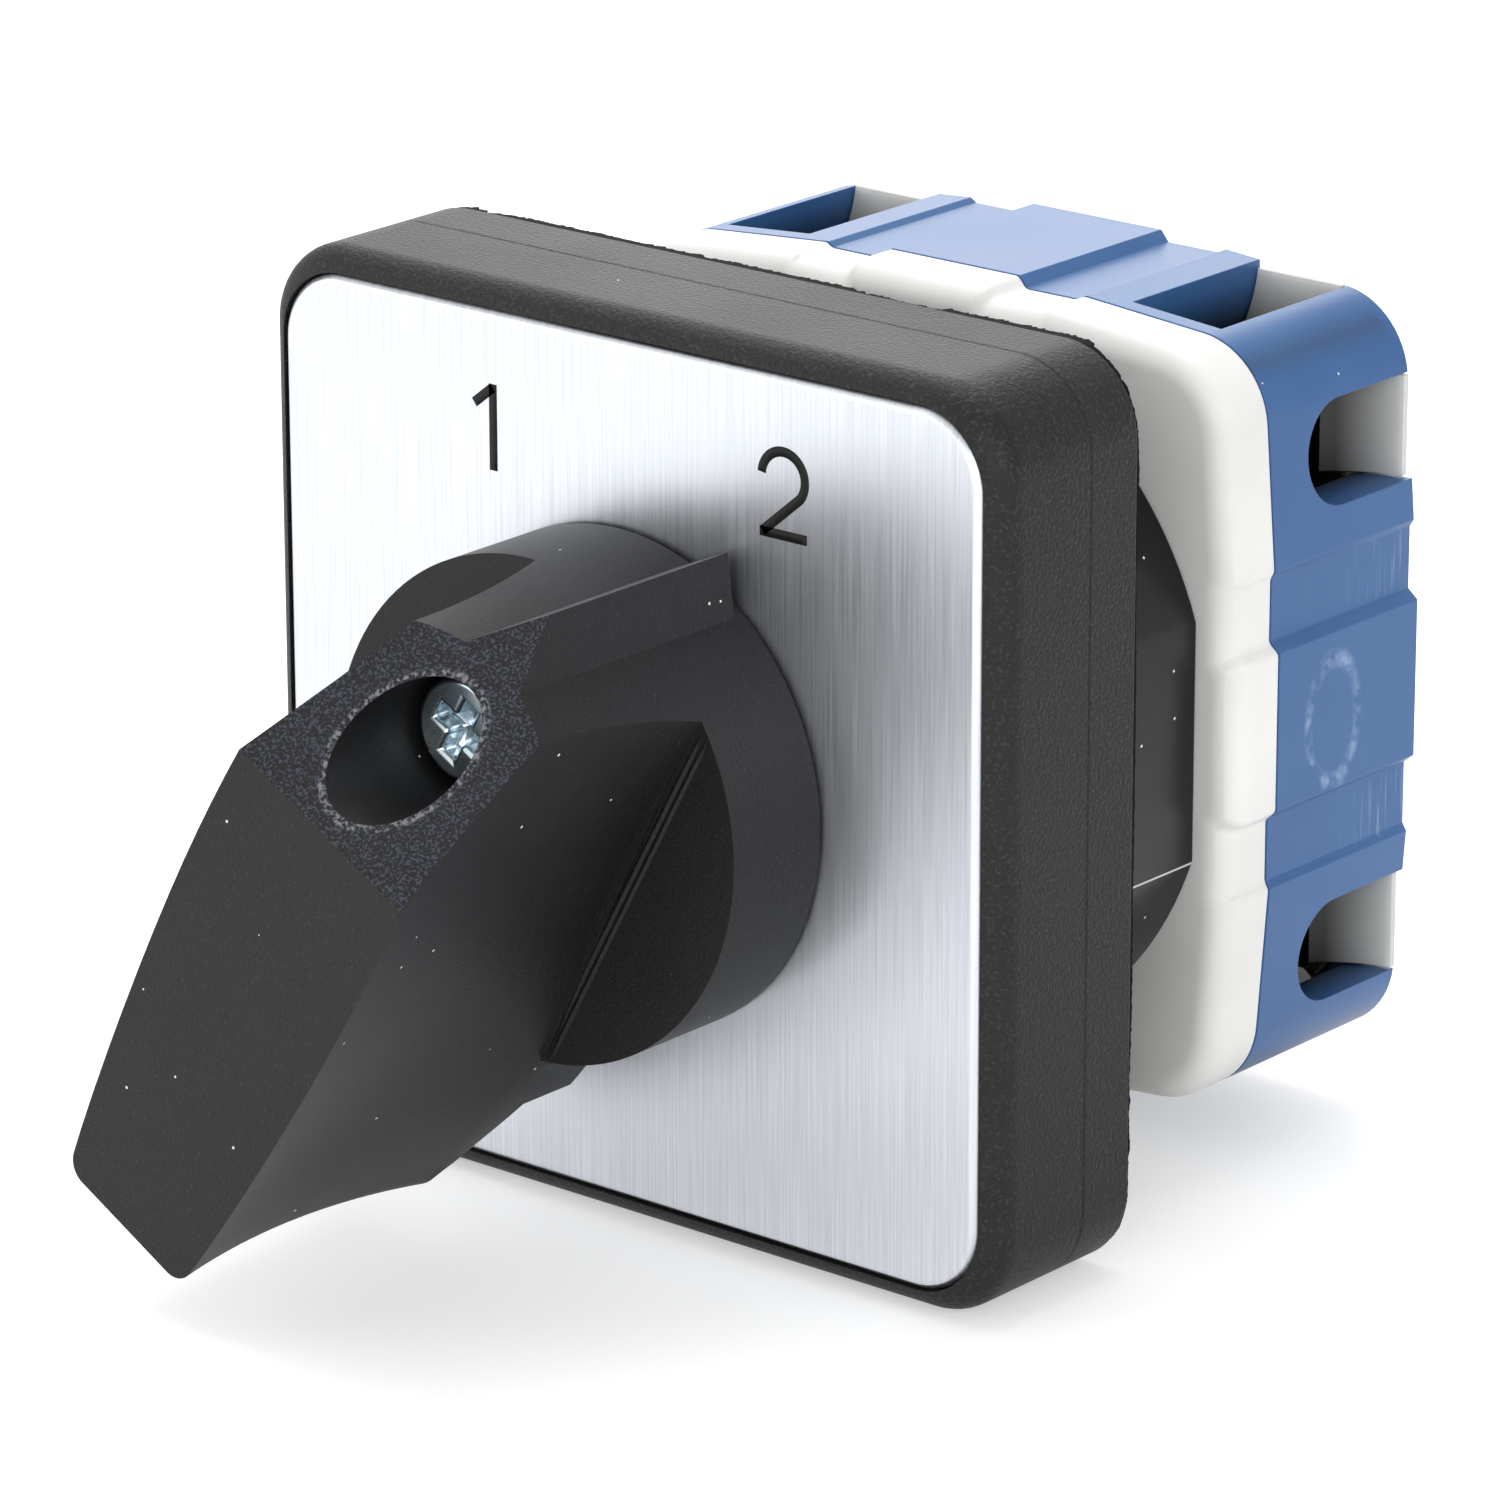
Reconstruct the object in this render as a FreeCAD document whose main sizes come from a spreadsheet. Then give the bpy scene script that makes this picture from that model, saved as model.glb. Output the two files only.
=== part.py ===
import FreeCAD, Part
import math
import os
import Sketcher
from FreeCAD import Placement, Rotation, Vector

# Rotary cam switch with a square escutcheon, a lever handle and one contact deck.
# Everything is drawn with the shaft axis as z, which grows from the panel's front face
# towards the operator, with x to the right and y up. STAND then turns each piece into the
# part's own frame: z up, front towards -Y, origin where the shaft axis meets the panel plane.

os.makedirs("parts", exist_ok=True)
doc = FreeCAD.newDocument("rotary_cam_switch")
STAND = Placement(Vector(0, 0, 0), Rotation(Vector(1, 0, 0), 90))

# Driving dimensions in millimetres, or degrees where the name says angle
SIZES = (
    # escutcheon
    ("plate_side", 48.0),
    ("plate_corner", 4.5),
    ("base_height", 3.8),
    ("label_height", 10.75),
    ("front_round", 1.8),
    ("frame_wall", 1.5),
    ("frame_web", 1.6),
    ("label_side", 45.5),
    ("label_corner", 3.9),
    ("label_sheet", 0.8),
    ("label_bevel", 0.35),
    ("rim_height", 2.4),
    ("rim_wall", 1.8),
    ("fit_gap", 0.1),
    ("snap_gap", 0.05),
    # cross recesses and slots of all the screws, as shares of the head
    ("recess_arm_share", 0.62),
    ("recess_web_share", 0.17),
    ("recess_depth_share", 0.55),
    # fixing screws through the panel
    ("fixing_offset", 15.0),
    ("fixing_radius", 2.0),
    ("fixing_head_radius", 3.5),
    ("fixing_head_height", 2.4),
    ("fixing_seat", 2.2),
    ("fixing_bite", 6.2),
    ("fixing_boss_wall", 1.4),
    # hub that carries the handle
    ("hub_radius", 6.5),
    ("hub_bottom", 0.3),
    ("flange_radius", 10.8),
    ("flange_sheet", 3.0),
    ("hub_top", 17.0),
    ("screw_offset", 8.9),
    ("screw_boss_radius", 3.4),
    ("screw_boss_height", 2.3),
    ("handle_screw_radius", 1.75),
    ("handle_screw_head", 2.6),
    ("handle_screw_head_height", 2.3),
    ("handle_screw_bite", 2.0),
    ("clip_groove_depth", 0.8),
    ("clip_sheet", 0.8),
    ("clip_reach", 1.8),
    ("clip_level", 0.5),
    ("clip_mouth", 7.0),
    # handle, heights measured from the label's face
    ("handle_gap", 0.3),
    ("disc_radius", 13.1),
    ("disc_height", 6.9),
    ("lever_angle", 30.0),
    ("lever_height", 24.9),
    ("lever_half", 6.25),
    ("lever_belly", 1.5),
    ("lever_hollow", 0.75),
    ("tip_half", 4.55),
    ("tip_reach", 22.5),
    ("tip_under", 7.8),
    ("tip_round", 1.2),
    ("foot_front", 5.5),
    ("foot_tail", 6.9),
    ("foot_tail_reach", 11.0),
    ("foot_tip", 5.2),
    ("lug_reach", 15.5),
    ("lug_under", 5.2),
    ("lug_level", 1.6),
    ("ridge_reach", 5.0),
    ("slope_height", 16.75),
    ("pointer_reach", 15.6),
    ("pointer_half", 2.0),
    ("pointer_level", 1.0),
    ("bead_half", 0.3),
    ("bead_height", 0.25),
    ("bead_inset", 2.0),
    ("well_radius", 3.05),
    ("well_floor", 14.8),
    # shaft
    ("shaft_square", 6.0),
    ("shaft_corner_radius", 4.0),
    ("shaft_top", 15.6),
    ("shaft_inset", 0.9),
    ("square_gap", 0.05),
    ("run_gap", 0.1),
    # latch housing behind the panel
    ("panel_gap", 3.0),
    ("spigot_radius", 11.0),
    ("drum_radius", 19.9),
    ("drum_flat", 18.85),
    ("drum_depth", 9.0),
    ("drum_wall", 2.6),
    ("drum_chamfer", 0.2),
    ("latch_half_x", 12.7),
    ("latch_half_y", 11.0),
    ("latch_corner", 1.0),
    # star wheel, detent springs and stop
    ("star_radius", 9.0),
    ("star_height", 4.0),
    ("star_level", 11.4),
    ("notch_radius", 3.1),
    ("notch_depth", 1.4),
    ("notches", 6),
    ("spring_strip", 0.4),
    ("spring_width", 3.4),
    ("spring_nose_radius", 2.5),
    ("spring_nose_angle", 50.0),
    ("spring_end", 9.6),
    ("spring_bend_share", 0.55),
    ("throw_angle", 60.0),
    ("stop_radius", 9.3),
    ("stop_reach", 10.8),
    ("stop_half_angle", 12.0),
    ("stop_sheet", 1.5),
    ("post_radius", 1.2),
    ("post_circle", 10.5),
    # long bolts that hold the deck to the latch housing
    ("bolt_offset", 15.0),
    ("bolt_radius", 1.5),
    ("bolt_head_radius", 2.7),
    ("bolt_head_height", 1.8),
    ("nut_flats", 5.5),
    ("nut_height", 2.3),
    # mounting plate and contact deck
    ("cover_sheet", 3.8),
    ("cover_round", 1.5),
    ("deck_depth", 12.0),
    ("deck_floor", 1.2),
    ("deck_rib", 21.2),
    ("deck_rib_half", 4.25),
    ("deck_groove", 20.6),
    ("deck_groove_start", 4.75),
    ("deck_groove_end", 8.1),
    ("deck_shoulder", 20.85),
    ("deck_shoulder_start", 8.5),
    ("deck_corner", 19.95),
    ("deck_corner_radius", 4.5),
    ("journal_radius", 5.5),
    ("rear_journal_radius", 5.0),
    ("cam_room", 8.6),
    ("channel_half", 3.2),
    ("channel_reach", 19.0),
    ("bridge_room_half", 9.2),
    ("bridge_room_reach", 16.4),
    ("terminal_end", 17.8),
    ("terminal_reach", 17.6),
    ("terminal_wall", 2.8),
    ("slot_centre", 13.5),
    ("slot_half", 2.8),
    ("window_wall", 1.1),
    ("entry_wall", 3.15),
    ("rear_recess", 17.7),
    ("end_sheet", 1.5),
    ("end_corner", 3.0),
    ("chute_radius", 6.2),
    ("chute_centre", 21.3),
    ("chute_level", 6.5),
    ("chute_inner", 16.5),
    ("chute_outer", 20.3),
    # contacts
    ("cam_low", 6.4),
    ("cam_high", 7.9),
    ("cam_sheet", 5.0),
    ("cam_margin_angle", 9.0),
    ("nose_gap", 0.1),
    ("nose_radius", 1.2),
    ("nose_height", 1.7),
    ("plunger_slope", 1.0),
    ("plunger_half", 3.0),
    ("plunger_sheet", 4.4),
    ("guide_radius", 1.1),
    ("guide_length", 3.0),
    ("bar_level", 8.9),
    ("bar_sheet", 1.2),
    ("bar_width", 5.2),
    ("bar_start", 4.8),
    ("bar_end", 17.4),
    ("terminal_offset", 13.5),
    ("tip_radius", 1.3),
    ("tip_sheet", 0.5),
    ("tip_offset", 6.5),
    ("closed_gap", 0.1),
    ("bridge_half", 8.1),
    ("bridge_sheet", 0.8),
    ("bridge_width", 3.4),
    ("coil_radius", 1.75),
    ("coil_wire", 0.25),
    ("coil_turns", 4),
    # terminals
    ("wire_room", 4.5),
    ("washer_side", 5.1),
    ("washer_sheet", 0.9),
    ("terminal_screw_radius", 1.7),
    ("terminal_head_radius", 2.45),
    ("terminal_head_height", 1.9),
    ("terminal_screw_tail", 1.4),
)


class Size:
    """A dimension and the formula that gives it, so that features can be bound to the sheet."""

    def __init__(self, value, text):
        self.value = float(value)
        self.text = text

    def joined(self, other, sign, value):
        return Size(value, "(%s %s %s)" % (self.text, sign, size(other).text))

    def __add__(self, other):
        return self.joined(other, "+", self.value + size(other).value)

    def __sub__(self, other):
        return self.joined(other, "-", self.value - size(other).value)

    def __mul__(self, other):
        return self.joined(other, "*", self.value * size(other).value)

    def __truediv__(self, other):
        return self.joined(other, "/", self.value / size(other).value)

    def __neg__(self):
        return Size(-self.value, "(0 - %s)" % self.text)


def size(number):
    """A plain number as a Size, unless it is one already."""
    return number if isinstance(number, Size) else Size(number, "(%r)" % float(number))


def root(number):
    return Size(math.sqrt(number.value), "sqrt(%s)" % number.text)


def sine(angle):
    return Size(math.sin(math.radians(angle.value)), "sin(%s * 1 deg)" % angle.text)


def cosine(angle):
    return Size(math.cos(math.radians(angle.value)), "cos(%s * 1 deg)" % angle.text)


def fill_sheet():
    """The spreadsheet of driving dimensions, and each of them as a Size by name."""
    sheet = doc.addObject("Spreadsheet::Sheet", "Dims")
    named = {}
    for row, (name, value) in enumerate(SIZES, 1):
        sheet.set("A%d" % row, name)
        sheet.set("B%d" % row, str(value))
        sheet.setAlias("B%d" % row, name)
        named[name] = Size(value, "Dims." + name)
    doc.recompute()
    return named


D = fill_sheet()
ZERO = size(0)


def bind(item, path, number):
    """Set a property of an object by its formula."""
    item.setExpression(path, size(number).text)


# Sketches and PartDesign features

def new_body(label):
    body = doc.addObject("PartDesign::Body", label)
    body.Label = label
    return body


def new_sketch(body, height=ZERO, role="XY_Plane"):
    """A sketch on one of the body's own planes, moved along the plane's normal."""
    plane = next(f for f in body.Origin.OriginFeatures if f.Role == role)
    sketch = body.newObject("Sketcher::SketchObject", body.Name + "_sketch")
    sketch.AttachmentSupport = [(plane, "")]
    sketch.MapMode = "FlatFace"
    bind(sketch, "AttachmentOffset.Base.z", height)
    return sketch


def constrain(sketch, number, kind, *where):
    index = sketch.addConstraint(Sketcher.Constraint(kind, *where, number.value))
    bind(sketch, "Constraints[%d]" % index, number)


def fix_point(sketch, geometry, end, x, y):
    """Place one point of the sketch from its origin."""
    constrain(sketch, x, "DistanceX", -1, 1, geometry, end)
    constrain(sketch, y, "DistanceY", -1, 1, geometry, end)


def draw_circle(sketch, radius, x=ZERO, y=ZERO):
    circle = Part.Circle(Vector(x.value, y.value, 0), Vector(0, 0, 1), radius.value)
    index = sketch.addGeometry(circle)
    constrain(sketch, radius, "Radius", index)
    fix_point(sketch, index, 3, x, y)


def arc_through(first, middle, last):
    """The arc through three points, always anticlockwise, and whether it starts at the first."""
    circle = Part.Circle(first, middle, last)
    centre = circle.Center
    forwards = (middle - first).cross(last - middle).z > 0
    ends = [first, last] if forwards else [last, first]
    angles = [math.atan2(p.y - centre.y, p.x - centre.x) for p in ends]
    level = Part.Circle(centre, Vector(0, 0, 1), circle.Radius)
    return Part.ArcOfCircle(level, *angles), forwards


def draw_outline(sketch, corners, through=None):
    """Edges through corners, each placed from the origin.

    through gives, by the number of the corner where an edge starts, a point that the edge
    passes as an arc.
    """
    through = through or {}
    spots = [Vector(x.value, y.value, 0) for x, y in corners]
    edges = []
    for i, spot in enumerate(spots):
        after = spots[(i + 1) % len(spots)]
        if i in through:
            x, y = through[i]
            middle = Vector(x.value, y.value, 0)
            arc, forwards = arc_through(spot, middle, after)
            index = sketch.addGeometry(arc)
            begin = 1 if forwards else 2
            mark = sketch.addGeometry(Part.Point(middle), True)
            fix_point(sketch, mark, 1, x, y)
            sketch.addConstraint(Sketcher.Constraint("PointOnObject", mark, 1, index))
        else:
            index = sketch.addGeometry(Part.LineSegment(spot, after))
            begin = 1
        edges.append((index, begin))
    for i, (index, begin) in enumerate(edges):
        following, first = edges[(i + 1) % len(edges)]
        sketch.addConstraint(
            Sketcher.Constraint("Coincident", index, 3 - begin, following, first)
        )
        fix_point(sketch, index, begin, *corners[i])


def draw_box(sketch, x0, x1, y0, y1):
    draw_outline(sketch, [(x0, y0), (x1, y0), (x1, y1), (x0, y1)])


def draw_soft_box(sketch, half_x, half_y, radius):
    """A rectangle about the origin with round corners."""
    flat_x, flat_y = half_x.value - radius.value, half_y.value - radius.value
    runs = [
        (Vector(-flat_x, half_y.value, 0), Vector(flat_x, half_y.value, 0)),
        (Vector(half_x.value, flat_y, 0), Vector(half_x.value, -flat_y, 0)),
        (Vector(flat_x, -half_y.value, 0), Vector(-flat_x, -half_y.value, 0)),
        (Vector(-half_x.value, -flat_y, 0), Vector(-half_x.value, flat_y, 0)),
    ]
    centres = [(flat_x, flat_y, 0), (flat_x, -flat_y, -90),
               (-flat_x, -flat_y, 180), (-flat_x, flat_y, 90)]
    lines = [sketch.addGeometry(Part.LineSegment(*run)) for run in runs]
    arcs = []
    for x, y, start in centres:
        circle = Part.Circle(Vector(x, y, 0), Vector(0, 0, 1), radius.value)
        arc = Part.ArcOfCircle(circle, math.radians(start), math.radians(start + 90))
        arcs.append(sketch.addGeometry(arc))
    for i in range(4):
        sketch.addConstraint(Sketcher.Constraint("Tangent", lines[i], 2, arcs[i], 2))
        sketch.addConstraint(Sketcher.Constraint("Tangent", arcs[i], 1, lines[(i + 1) % 4], 1))
        sketch.addConstraint(
            Sketcher.Constraint("Vertical" if i % 2 else "Horizontal", lines[i])
        )
    for arc in arcs[1:]:
        sketch.addConstraint(Sketcher.Constraint("Equal", arcs[0], arc))
    constrain(sketch, radius, "Radius", arcs[0])
    constrain(sketch, half_y, "DistanceY", -1, 1, lines[0], 1)
    constrain(sketch, half_x, "DistanceX", -1, 1, lines[1], 1)
    constrain(sketch, -half_y, "DistanceY", -1, 1, lines[2], 1)
    constrain(sketch, -half_x, "DistanceX", -1, 1, lines[3], 1)


def add_feature(body, kind, sketch, length, away, changes):
    """Pad or pocket a sketch, and see that the body's volume changed as it should."""
    doc.recompute()
    before = body.Shape.Volume if body.Tip else 0.0
    feature = body.newObject("PartDesign::" + kind, body.Name + "_" + kind.lower())
    feature.Profile = sketch
    bind(feature, "Length", length)
    feature.Reversed = away
    doc.recompute()
    after = body.Shape.Volume
    if (after - before) * changes <= 1e-6:
        raise RuntimeError("%s of %s changes nothing" % (kind, body.Name))
    return feature


def pad(body, sketch, length, down=False):
    return add_feature(body, "Pad", sketch, length, down, 1)


def pocket(body, sketch, depth, up=False):
    return add_feature(body, "Pocket", sketch, depth, up, -1)


def edge_names(shape, wanted):
    return ["Edge%d" % n for n, edge in enumerate(shape.Edges, 1) if wanted(edge)]


def dress(body, kind, measure, number, wanted):
    """Round or bevel the edges of the body's last feature that match."""
    base = body.Tip
    feature = body.newObject("PartDesign::" + kind, body.Name + "_" + kind.lower())
    feature.Base = (base, edge_names(base.Shape, wanted))
    bind(feature, measure, number)
    doc.recompute()
    return feature


def in_plane(edge, level):
    box = edge.BoundBox
    return abs(box.ZMin - level.value) < 1e-4 and abs(box.ZMax - level.value) < 1e-4


def reaches(edge, distance):
    """Whether the whole edge lies at least this far out from the axis."""
    return all(math.hypot(v.Point.x, v.Point.y) > distance.value for v in edge.Vertexes)


# Part primitives and booleans

def cylinder(name, radius, height, x=ZERO, y=ZERO, z=ZERO):
    """A cylinder along z, standing on level z."""
    item = doc.addObject("Part::Cylinder", name)
    bind(item, "Radius", radius)
    bind(item, "Height", height)
    for axis, number in (("x", x), ("y", y), ("z", z)):
        bind(item, "Placement.Base." + axis, number)
    return item


def block(name, x0, x1, y0, y1, z0, z1):
    item = doc.addObject("Part::Box", name)
    spans = (("Length", x0, x1, "x"), ("Width", y0, y1, "y"), ("Height", z0, z1, "z"))
    for measure, low, high, axis in spans:
        bind(item, measure, size(high) - low)
        bind(item, "Placement.Base." + axis, low)
    return item


def upright(item, x, y, z, towards):
    """Turn a z cylinder so that it runs along y, up or down, from a given spot."""
    spot = Vector(x.value, y.value, z.value)
    item.Placement = Placement(spot, Rotation(Vector(1, 0, 0), -90 * towards))
    for axis, number in (("x", x), ("y", y), ("z", z)):
        bind(item, "Placement.Base." + axis, number)
    return item


def fuse(label, items):
    item = doc.addObject("Part::MultiFuse", label)
    item.Shapes = items
    item.Label = label
    return item


def cut(label, base, tool):
    item = doc.addObject("Part::Cut", label)
    item.Base = base
    item.Tool = tool
    item.Label = label
    return item


def common(label, base, tool):
    item = doc.addObject("Part::Common", label)
    item.Base = base
    item.Tool = tool
    item.Label = label
    return item


def group(label, items):
    """Like fasteners as separate solids of one sub-part."""
    item = doc.addObject("Part::Compound", label)
    item.Links = items
    item.Label = label
    return item


# Levels that several pieces share
label_back = D["label_height"] - D["label_sheet"]
web_back = label_back - D["frame_web"]
drum_front = -D["panel_gap"]
drum_floor = drum_front - D["drum_wall"]
drum_rear = drum_front - D["drum_depth"]
cover_rear = drum_rear - D["cover_sheet"]
deck_rear = cover_rear - D["deck_depth"]
shaft_rear = deck_rear + D["shaft_inset"]
terminal_front = cover_rear - D["terminal_wall"]
# Cam and contacts run midway between the terminal rooms' front wall and the rear cover
contact_plane = (terminal_front + deck_rear + D["end_sheet"]) / 2
cam_front = contact_plane + D["cam_sheet"] / 2
cam_back = contact_plane - D["cam_sheet"] / 2
hub_bore = D["hub_radius"] + D["run_gap"]


def front(height):
    """A height over the label's face as a level."""
    return D["label_height"] + height


def square_bore(body, level, depth, up=False):
    """A square hole that slides on the shaft."""
    half = D["shaft_square"] / 2 + D["square_gap"]
    sketch = new_sketch(body, level)
    draw_box(sketch, -half, half, -half, half)
    return pocket(body, sketch, depth, up)


def base_plate():
    """Square plate that lies on the panel; its rim takes the snapped frame."""
    body = new_body("base_plate")
    side = D["plate_side"] / 2
    sketch = new_sketch(body)
    draw_soft_box(sketch, side, side, D["plate_corner"])
    pad(body, sketch, D["base_height"])
    rim = side - D["frame_wall"] - D["snap_gap"]
    rim_top = D["base_height"] + D["rim_height"]
    sketch = new_sketch(body, D["base_height"])
    draw_soft_box(sketch, rim, rim, D["plate_corner"] - D["frame_wall"])
    inner = rim - D["rim_wall"]
    draw_soft_box(sketch, inner, inner, D["plate_corner"] - D["frame_wall"] - D["rim_wall"] / 2)
    pad(body, sketch, D["rim_height"])
    head_room = D["fixing_head_radius"] + D["run_gap"] * 3
    boss = head_room + D["fixing_boss_wall"]
    seat = D["fixing_seat"]
    for side_y in (1, -1):
        sketch = new_sketch(body, D["base_height"])
        draw_circle(sketch, boss, ZERO, D["fixing_offset"] * side_y)
        pad(body, sketch, D["rim_height"])
        sketch = new_sketch(body, rim_top)
        draw_circle(sketch, head_room, ZERO, D["fixing_offset"] * side_y)
        pocket(body, sketch, rim_top - seat)
        sketch = new_sketch(body, seat)
        draw_circle(sketch, D["fixing_radius"] + D["run_gap"] * 2, ZERO, D["fixing_offset"] * side_y)
        pocket(body, sketch, seat)
    sketch = new_sketch(body, D["base_height"])
    draw_circle(sketch, hub_bore)
    pocket(body, sketch, D["base_height"])
    sketch = new_sketch(body)
    draw_circle(sketch, D["hub_radius"] - D["clip_groove_depth"] + D["clip_reach"] + D["clip_sheet"])
    pocket(body, sketch, D["clip_level"] + D["clip_sheet"] + D["fit_gap"] * 2, up=True)
    return body


def escutcheon_frame():
    """Moulded frame with a softly rounded front edge and a seat for the label."""
    body = new_body("escutcheon_frame")
    side = D["plate_side"] / 2
    sketch = new_sketch(body, D["base_height"])
    draw_soft_box(sketch, side, side, D["plate_corner"])
    pad(body, sketch, D["label_height"] - D["base_height"])
    dress(body, "Fillet", "Radius", D["front_round"], lambda e: in_plane(e, D["label_height"]))
    room = side - D["frame_wall"]
    sketch = new_sketch(body, D["base_height"])
    draw_soft_box(sketch, room, room, D["plate_corner"] - D["frame_wall"])
    pocket(body, sketch, web_back - D["base_height"], up=True)
    seat = D["label_side"] / 2 + D["snap_gap"]
    sketch = new_sketch(body, D["label_height"])
    draw_soft_box(sketch, seat, seat, D["label_corner"] + D["snap_gap"])
    pocket(body, sketch, D["label_sheet"])
    sketch = new_sketch(body, label_back)
    draw_circle(sketch, hub_bore + D["fit_gap"] * 4)
    pocket(body, sketch, D["frame_web"])
    return body


def label_plate():
    """Brushed sheet with a bevelled edge, flush in the frame."""
    body = new_body("label_plate")
    side = D["label_side"] / 2
    sketch = new_sketch(body, label_back)
    draw_soft_box(sketch, side, side, D["label_corner"])
    pad(body, sketch, D["label_sheet"])
    dress(body, "Chamfer", "Size", D["label_bevel"], lambda e: in_plane(e, D["label_height"]))
    sketch = new_sketch(body, D["label_height"])
    draw_circle(sketch, hub_bore + D["fit_gap"] * 4)
    pocket(body, sketch, D["label_sheet"])
    return body


def cross_recess(name, radius, x, y, top, depth):
    """Tool for a cross recess, sunk from level top."""
    arm = radius * D["recess_arm_share"]
    web = radius * D["recess_web_share"]
    return fuse(name, [
        block(name + "_a", x - arm, x + arm, y - web, y + web, top - depth, top + depth),
        block(name + "_b", x - web, x + web, y - arm, y + arm, top - depth, top + depth),
    ])


def screw(name, radius, length, head_radius, head_height, x, y, seat):
    """A pan-head screw pointing away from the operator, its head standing on level seat."""
    head = cylinder(name + "_head", head_radius, head_height, x, y, seat)
    shank = cylinder(name + "_shank", radius, length + head_height / 2, x, y, seat - length)
    whole = fuse(name + "_blank", [head, shank])
    top = seat + head_height
    recess = cross_recess(name + "_recess", head_radius, x, y, top, head_height * D["recess_depth_share"])
    return cut(name, whole, recess)


def fixing_screws():
    """The two screws that clamp the panel between base plate and latch housing."""
    length = D["fixing_seat"] + D["panel_gap"] + D["fixing_bite"]
    return group("fixing_screws", [
        screw(name, D["fixing_radius"], length, D["fixing_head_radius"], D["fixing_head_height"],
              ZERO, D["fixing_offset"] * side, D["fixing_seat"])
        for name, side in (("upper_fixing", 1), ("lower_fixing", -1))
    ])


def handle_carrier():
    """Hub on the square shaft, with a flange under the handle and a boss for its screw."""
    body = new_body("handle_carrier")
    flange = front(D["handle_gap"] * 2)
    sketch = new_sketch(body, D["hub_bottom"])
    draw_circle(sketch, D["hub_radius"])
    pad(body, sketch, D["hub_top"] - D["hub_bottom"])
    sketch = new_sketch(body, flange)
    draw_circle(sketch, D["flange_radius"])
    pad(body, sketch, D["flange_sheet"])
    boss_top = flange + D["flange_sheet"] + D["screw_boss_height"]
    sketch = new_sketch(body, flange)
    draw_circle(sketch, D["screw_boss_radius"], ZERO, D["screw_offset"])
    pad(body, sketch, boss_top - flange)
    sketch = new_sketch(body, boss_top)
    draw_circle(sketch, D["handle_screw_radius"] + D["square_gap"], ZERO, D["screw_offset"])
    pocket(body, sketch, boss_top - flange)
    square_bore(body, D["hub_bottom"], D["shaft_top"] + D["fit_gap"] - D["hub_bottom"], up=True)
    sketch = new_sketch(body, D["clip_level"] + D["clip_sheet"] + D["fit_gap"])
    draw_circle(sketch, D["hub_radius"] + D["clip_reach"])
    draw_circle(sketch, D["hub_radius"] - D["clip_groove_depth"])
    pocket(body, sketch, D["clip_sheet"] + D["fit_gap"])
    return body


def carrier_clip():
    """Open spring ring in the hub's groove, behind the base plate's web."""
    inner = D["hub_radius"] - D["clip_groove_depth"] + D["square_gap"]
    ring = cut("clip_ring",
               cylinder("clip_outside", inner + D["clip_reach"], D["clip_sheet"], z=D["clip_level"]),
               cylinder("clip_inside", inner, D["clip_sheet"], z=D["clip_level"]))
    mouth = D["clip_mouth"] / 2
    gap = block("clip_mouth_cut", -mouth, mouth, -(inner + D["clip_reach"]), ZERO,
                D["clip_level"], D["clip_level"] + D["clip_sheet"])
    return cut("carrier_clip", ring, gap)


def handle_screw():
    """Screw in the handle's well; it stands off the shaft axis, towards the pointer."""
    seat = front(D["well_floor"])
    flange = front(D["handle_gap"] * 2)
    length = seat - flange - D["flange_sheet"] - D["screw_boss_height"] + D["handle_screw_bite"]
    return screw("handle_screw", D["handle_screw_radius"], length, D["handle_screw_head"],
                 D["handle_screw_head_height"], ZERO, D["screw_offset"], seat)


def between(y, start, first, end, last):
    """A width at y that changes evenly from first at start to last at end."""
    return first + (last - first) * (y - start) / (end - start)


def foot_half(y):
    """Half the lever's width where it meets the disc; it grows towards the tail."""
    return between(y, D["disc_radius"], D["foot_front"], -D["foot_tail_reach"], D["foot_tail"])


def tail_half(y):
    """Half the width of the lever's foot behind the disc, down to the tip."""
    return between(y, -D["foot_tail_reach"], D["foot_tail"], -D["tip_reach"], D["foot_tip"])


def lever_section(body, y, foot):
    """One cross-section of the lever, its side walls hollowed like a finger grip.

    The front face is widest a little behind the shaft and draws in with the square of the
    distance from there.
    """
    sketch = new_sketch(body, -y, "XZ_Plane")
    share = (y + D["lever_belly"]) / (D["tip_reach"] - D["lever_belly"])
    head = D["lever_half"] - (D["lever_half"] - D["tip_half"]) * share * share
    waist = head - D["lever_hollow"]
    low = front(D["pointer_level"])
    shoulder = front(D["disc_height"])
    middle = front(D["disc_height"] * 2)
    high = front(D["lever_height"]) + D["tip_round"]
    corners = [(-foot, low), (foot, low), (foot, shoulder), (head, high), (-head, high), (-foot, shoulder)]
    draw_outline(sketch, corners, {2: (waist, middle), 4: (-waist, middle)})
    return sketch


def lever_blank(body):
    """The lever's grip, lofted through sections from beyond the pointer's end to beyond the tip."""
    over = D["pointer_half"]
    ends = [D["disc_radius"] + over, D["ridge_reach"], (D["ridge_reach"] - D["foot_tail_reach"]) / 2]
    sections = [lever_section(body, y, foot_half(y)) for y in ends]
    leave = -D["foot_tail_reach"]
    tail = [leave, (leave - D["tip_reach"]) / 2, -(D["tip_reach"] + over)]
    sections += [lever_section(body, y, tail_half(y)) for y in tail]
    loft = body.newObject("PartDesign::AdditiveLoft", "lever_loft")
    loft.Profile = sections[0]
    loft.Sections = sections[1:]
    loft.Ruled = False
    doc.recompute()


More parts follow.
